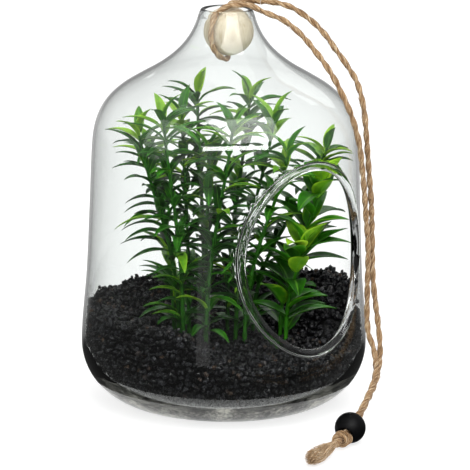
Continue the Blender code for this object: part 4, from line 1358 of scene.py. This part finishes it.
def white_paint(name, darkened):
    """Matt white, lit a little from beneath so that shadows stay light. Where a surface mirrors it, a
    darkened one is near black but for a pale patch behind the bottle, as if it stood on black cloths."""
    made = new_material(name)
    spot = add_node(made, "TexCoord").outputs["Object"]
    speck = add_node(made, "TexNoise", {"Vector": spot, "Scale": 1 / 0.02, "Detail": 2.0})
    white = add_node(made, "ValToRGB", {"Fac": speck}, stops=[
        (0.0, srgb("#a8a8a8")), (1.0, srgb("#acacac")),
    ])
    skin = add_node(made, "BsdfPrincipled", {
        "Base Color": white, "Roughness": 0.9, "Specular IOR Level": 0.1,
        "Emission Color": srgb("#ffffff"), "Emission Strength": 0.72,
    })
    surface = skin
    if darkened:
        ray = add_node(made, "LightPath")
        mirrored = add_node(
            made, "Math", {0: ray.outputs["Glossy Depth"], 1: 0.5}, operation="GREATER_THAN",
        )
        way = add_node(made, "VectorMath", {0: spot}, operation="NORMALIZE")
        nearness = add_node(made, "VectorMath", {0: way, 1: level_view}, operation="DOT_PRODUCT")
        strength = add_node(made, "MapRange", {
            "Value": nearness.outputs["Value"], "From Min": -1.0, "From Max": -0.6,
            "To Min": 0.6, "To Max": 0.05,
        })
        dark = add_node(made, "Emission", {"Color": srgb("#ffffff"), "Strength": strength})
        surface = add_node(made, "MixShader", {0: mirrored, 1: skin, 2: dark})
    add_node(made, "OutputMaterial", {"Surface": surface})
    return made


# The floor is darkened where a surface mirrors it, so that no veil of it lies over what the glass holds
bpy.ops.mesh.primitive_plane_add(size=FLOOR_SIZE, location=(0, 0, -FLOOR_DROP))
floor = bpy.context.object
floor.name = "studio_floor"
floor.data.materials.append(white_paint("white_studio_floor", True))
# A round card of the same white under the bottle, which its thick base and the bead mirror
bpy.ops.mesh.primitive_circle_add(
    vertices=96, radius=CARD_RADIUS, fill_type="NGON", location=(0, 0, -CARD_DROP),
)
card = bpy.context.object
card.name = "white_card"
card.data.materials.append(white_paint("white_card", False))

# The air round it is white, and dimmer where a surface mirrors it, so that the glass stays clear
world = bpy.data.worlds.new("studio")
stage.world = world
world.use_nodes = True
world.node_tree.nodes.clear()
ray = add_node(world, "LightPath")
strength = add_node(world, "MapRange", {
    "Value": ray.outputs["Glossy Depth"], "To Min": 0.62, "To Max": 0.32,
})
sky = add_node(world, "Background", {"Color": srgb("#ffffff"), "Strength": strength})
add_node(world, "OutputWorld", {"Surface": sky})

# Side round from the camera's own and rise, in degrees, height aimed at, distance, width, height, power
# in watts, and whether the box shows in reflections, lights matt surfaces and is seen through glass
SOFTBOXES = [
    ("key_box", 25, 50, 0.128, 1.6, 1.3, 1.3, 17.0, True, True, True),
    ("left_box", -60, 32, 0.128, 1.8, 1.0, 1.4, 9.0, False, True, True),
    ("top_box", 20, 85, 0.128, 1.8, 1.6, 1.6, 9.0, False, True, True),
    ("back_box", 170, 35, 0.128, 2.2, 2.4, 1.0, 12.0, False, True, True),
    ("bar_by_camera", 9, 22, 0.128, 0.8, 0.78, 0.080, 2.6, True, False, True),
    ("strip_by_camera", -14, 0, 0.110, 0.33, 0.055, 0.380, 0.034, True, False, False),
]
for name, side, rise, aim, distance, width, height, power, mirrored, on_matt, through in SOFTBOXES:
    turn = CAMERA_SIDE + radians(side)
    lift = radians(rise)
    outward = Vector((sin(turn) * cos(lift), -cos(turn) * cos(lift), sin(lift)))
    light = bpy.data.objects.new(name, bpy.data.lights.new(name, "AREA"))
    light.data.shape = "RECTANGLE"
    light.data.size = width
    light.data.size_y = height
    light.data.energy = power
    light.location = UP * aim + outward * distance
    light.rotation_euler = outward.to_track_quat("Z", "Y").to_euler()
    light.visible_camera = False
    light.visible_glossy = mirrored
    light.visible_diffuse = on_matt
    light.visible_transmission = through
    stage.collection.objects.link(light)
stage.view_settings.view_transform = "Standard"
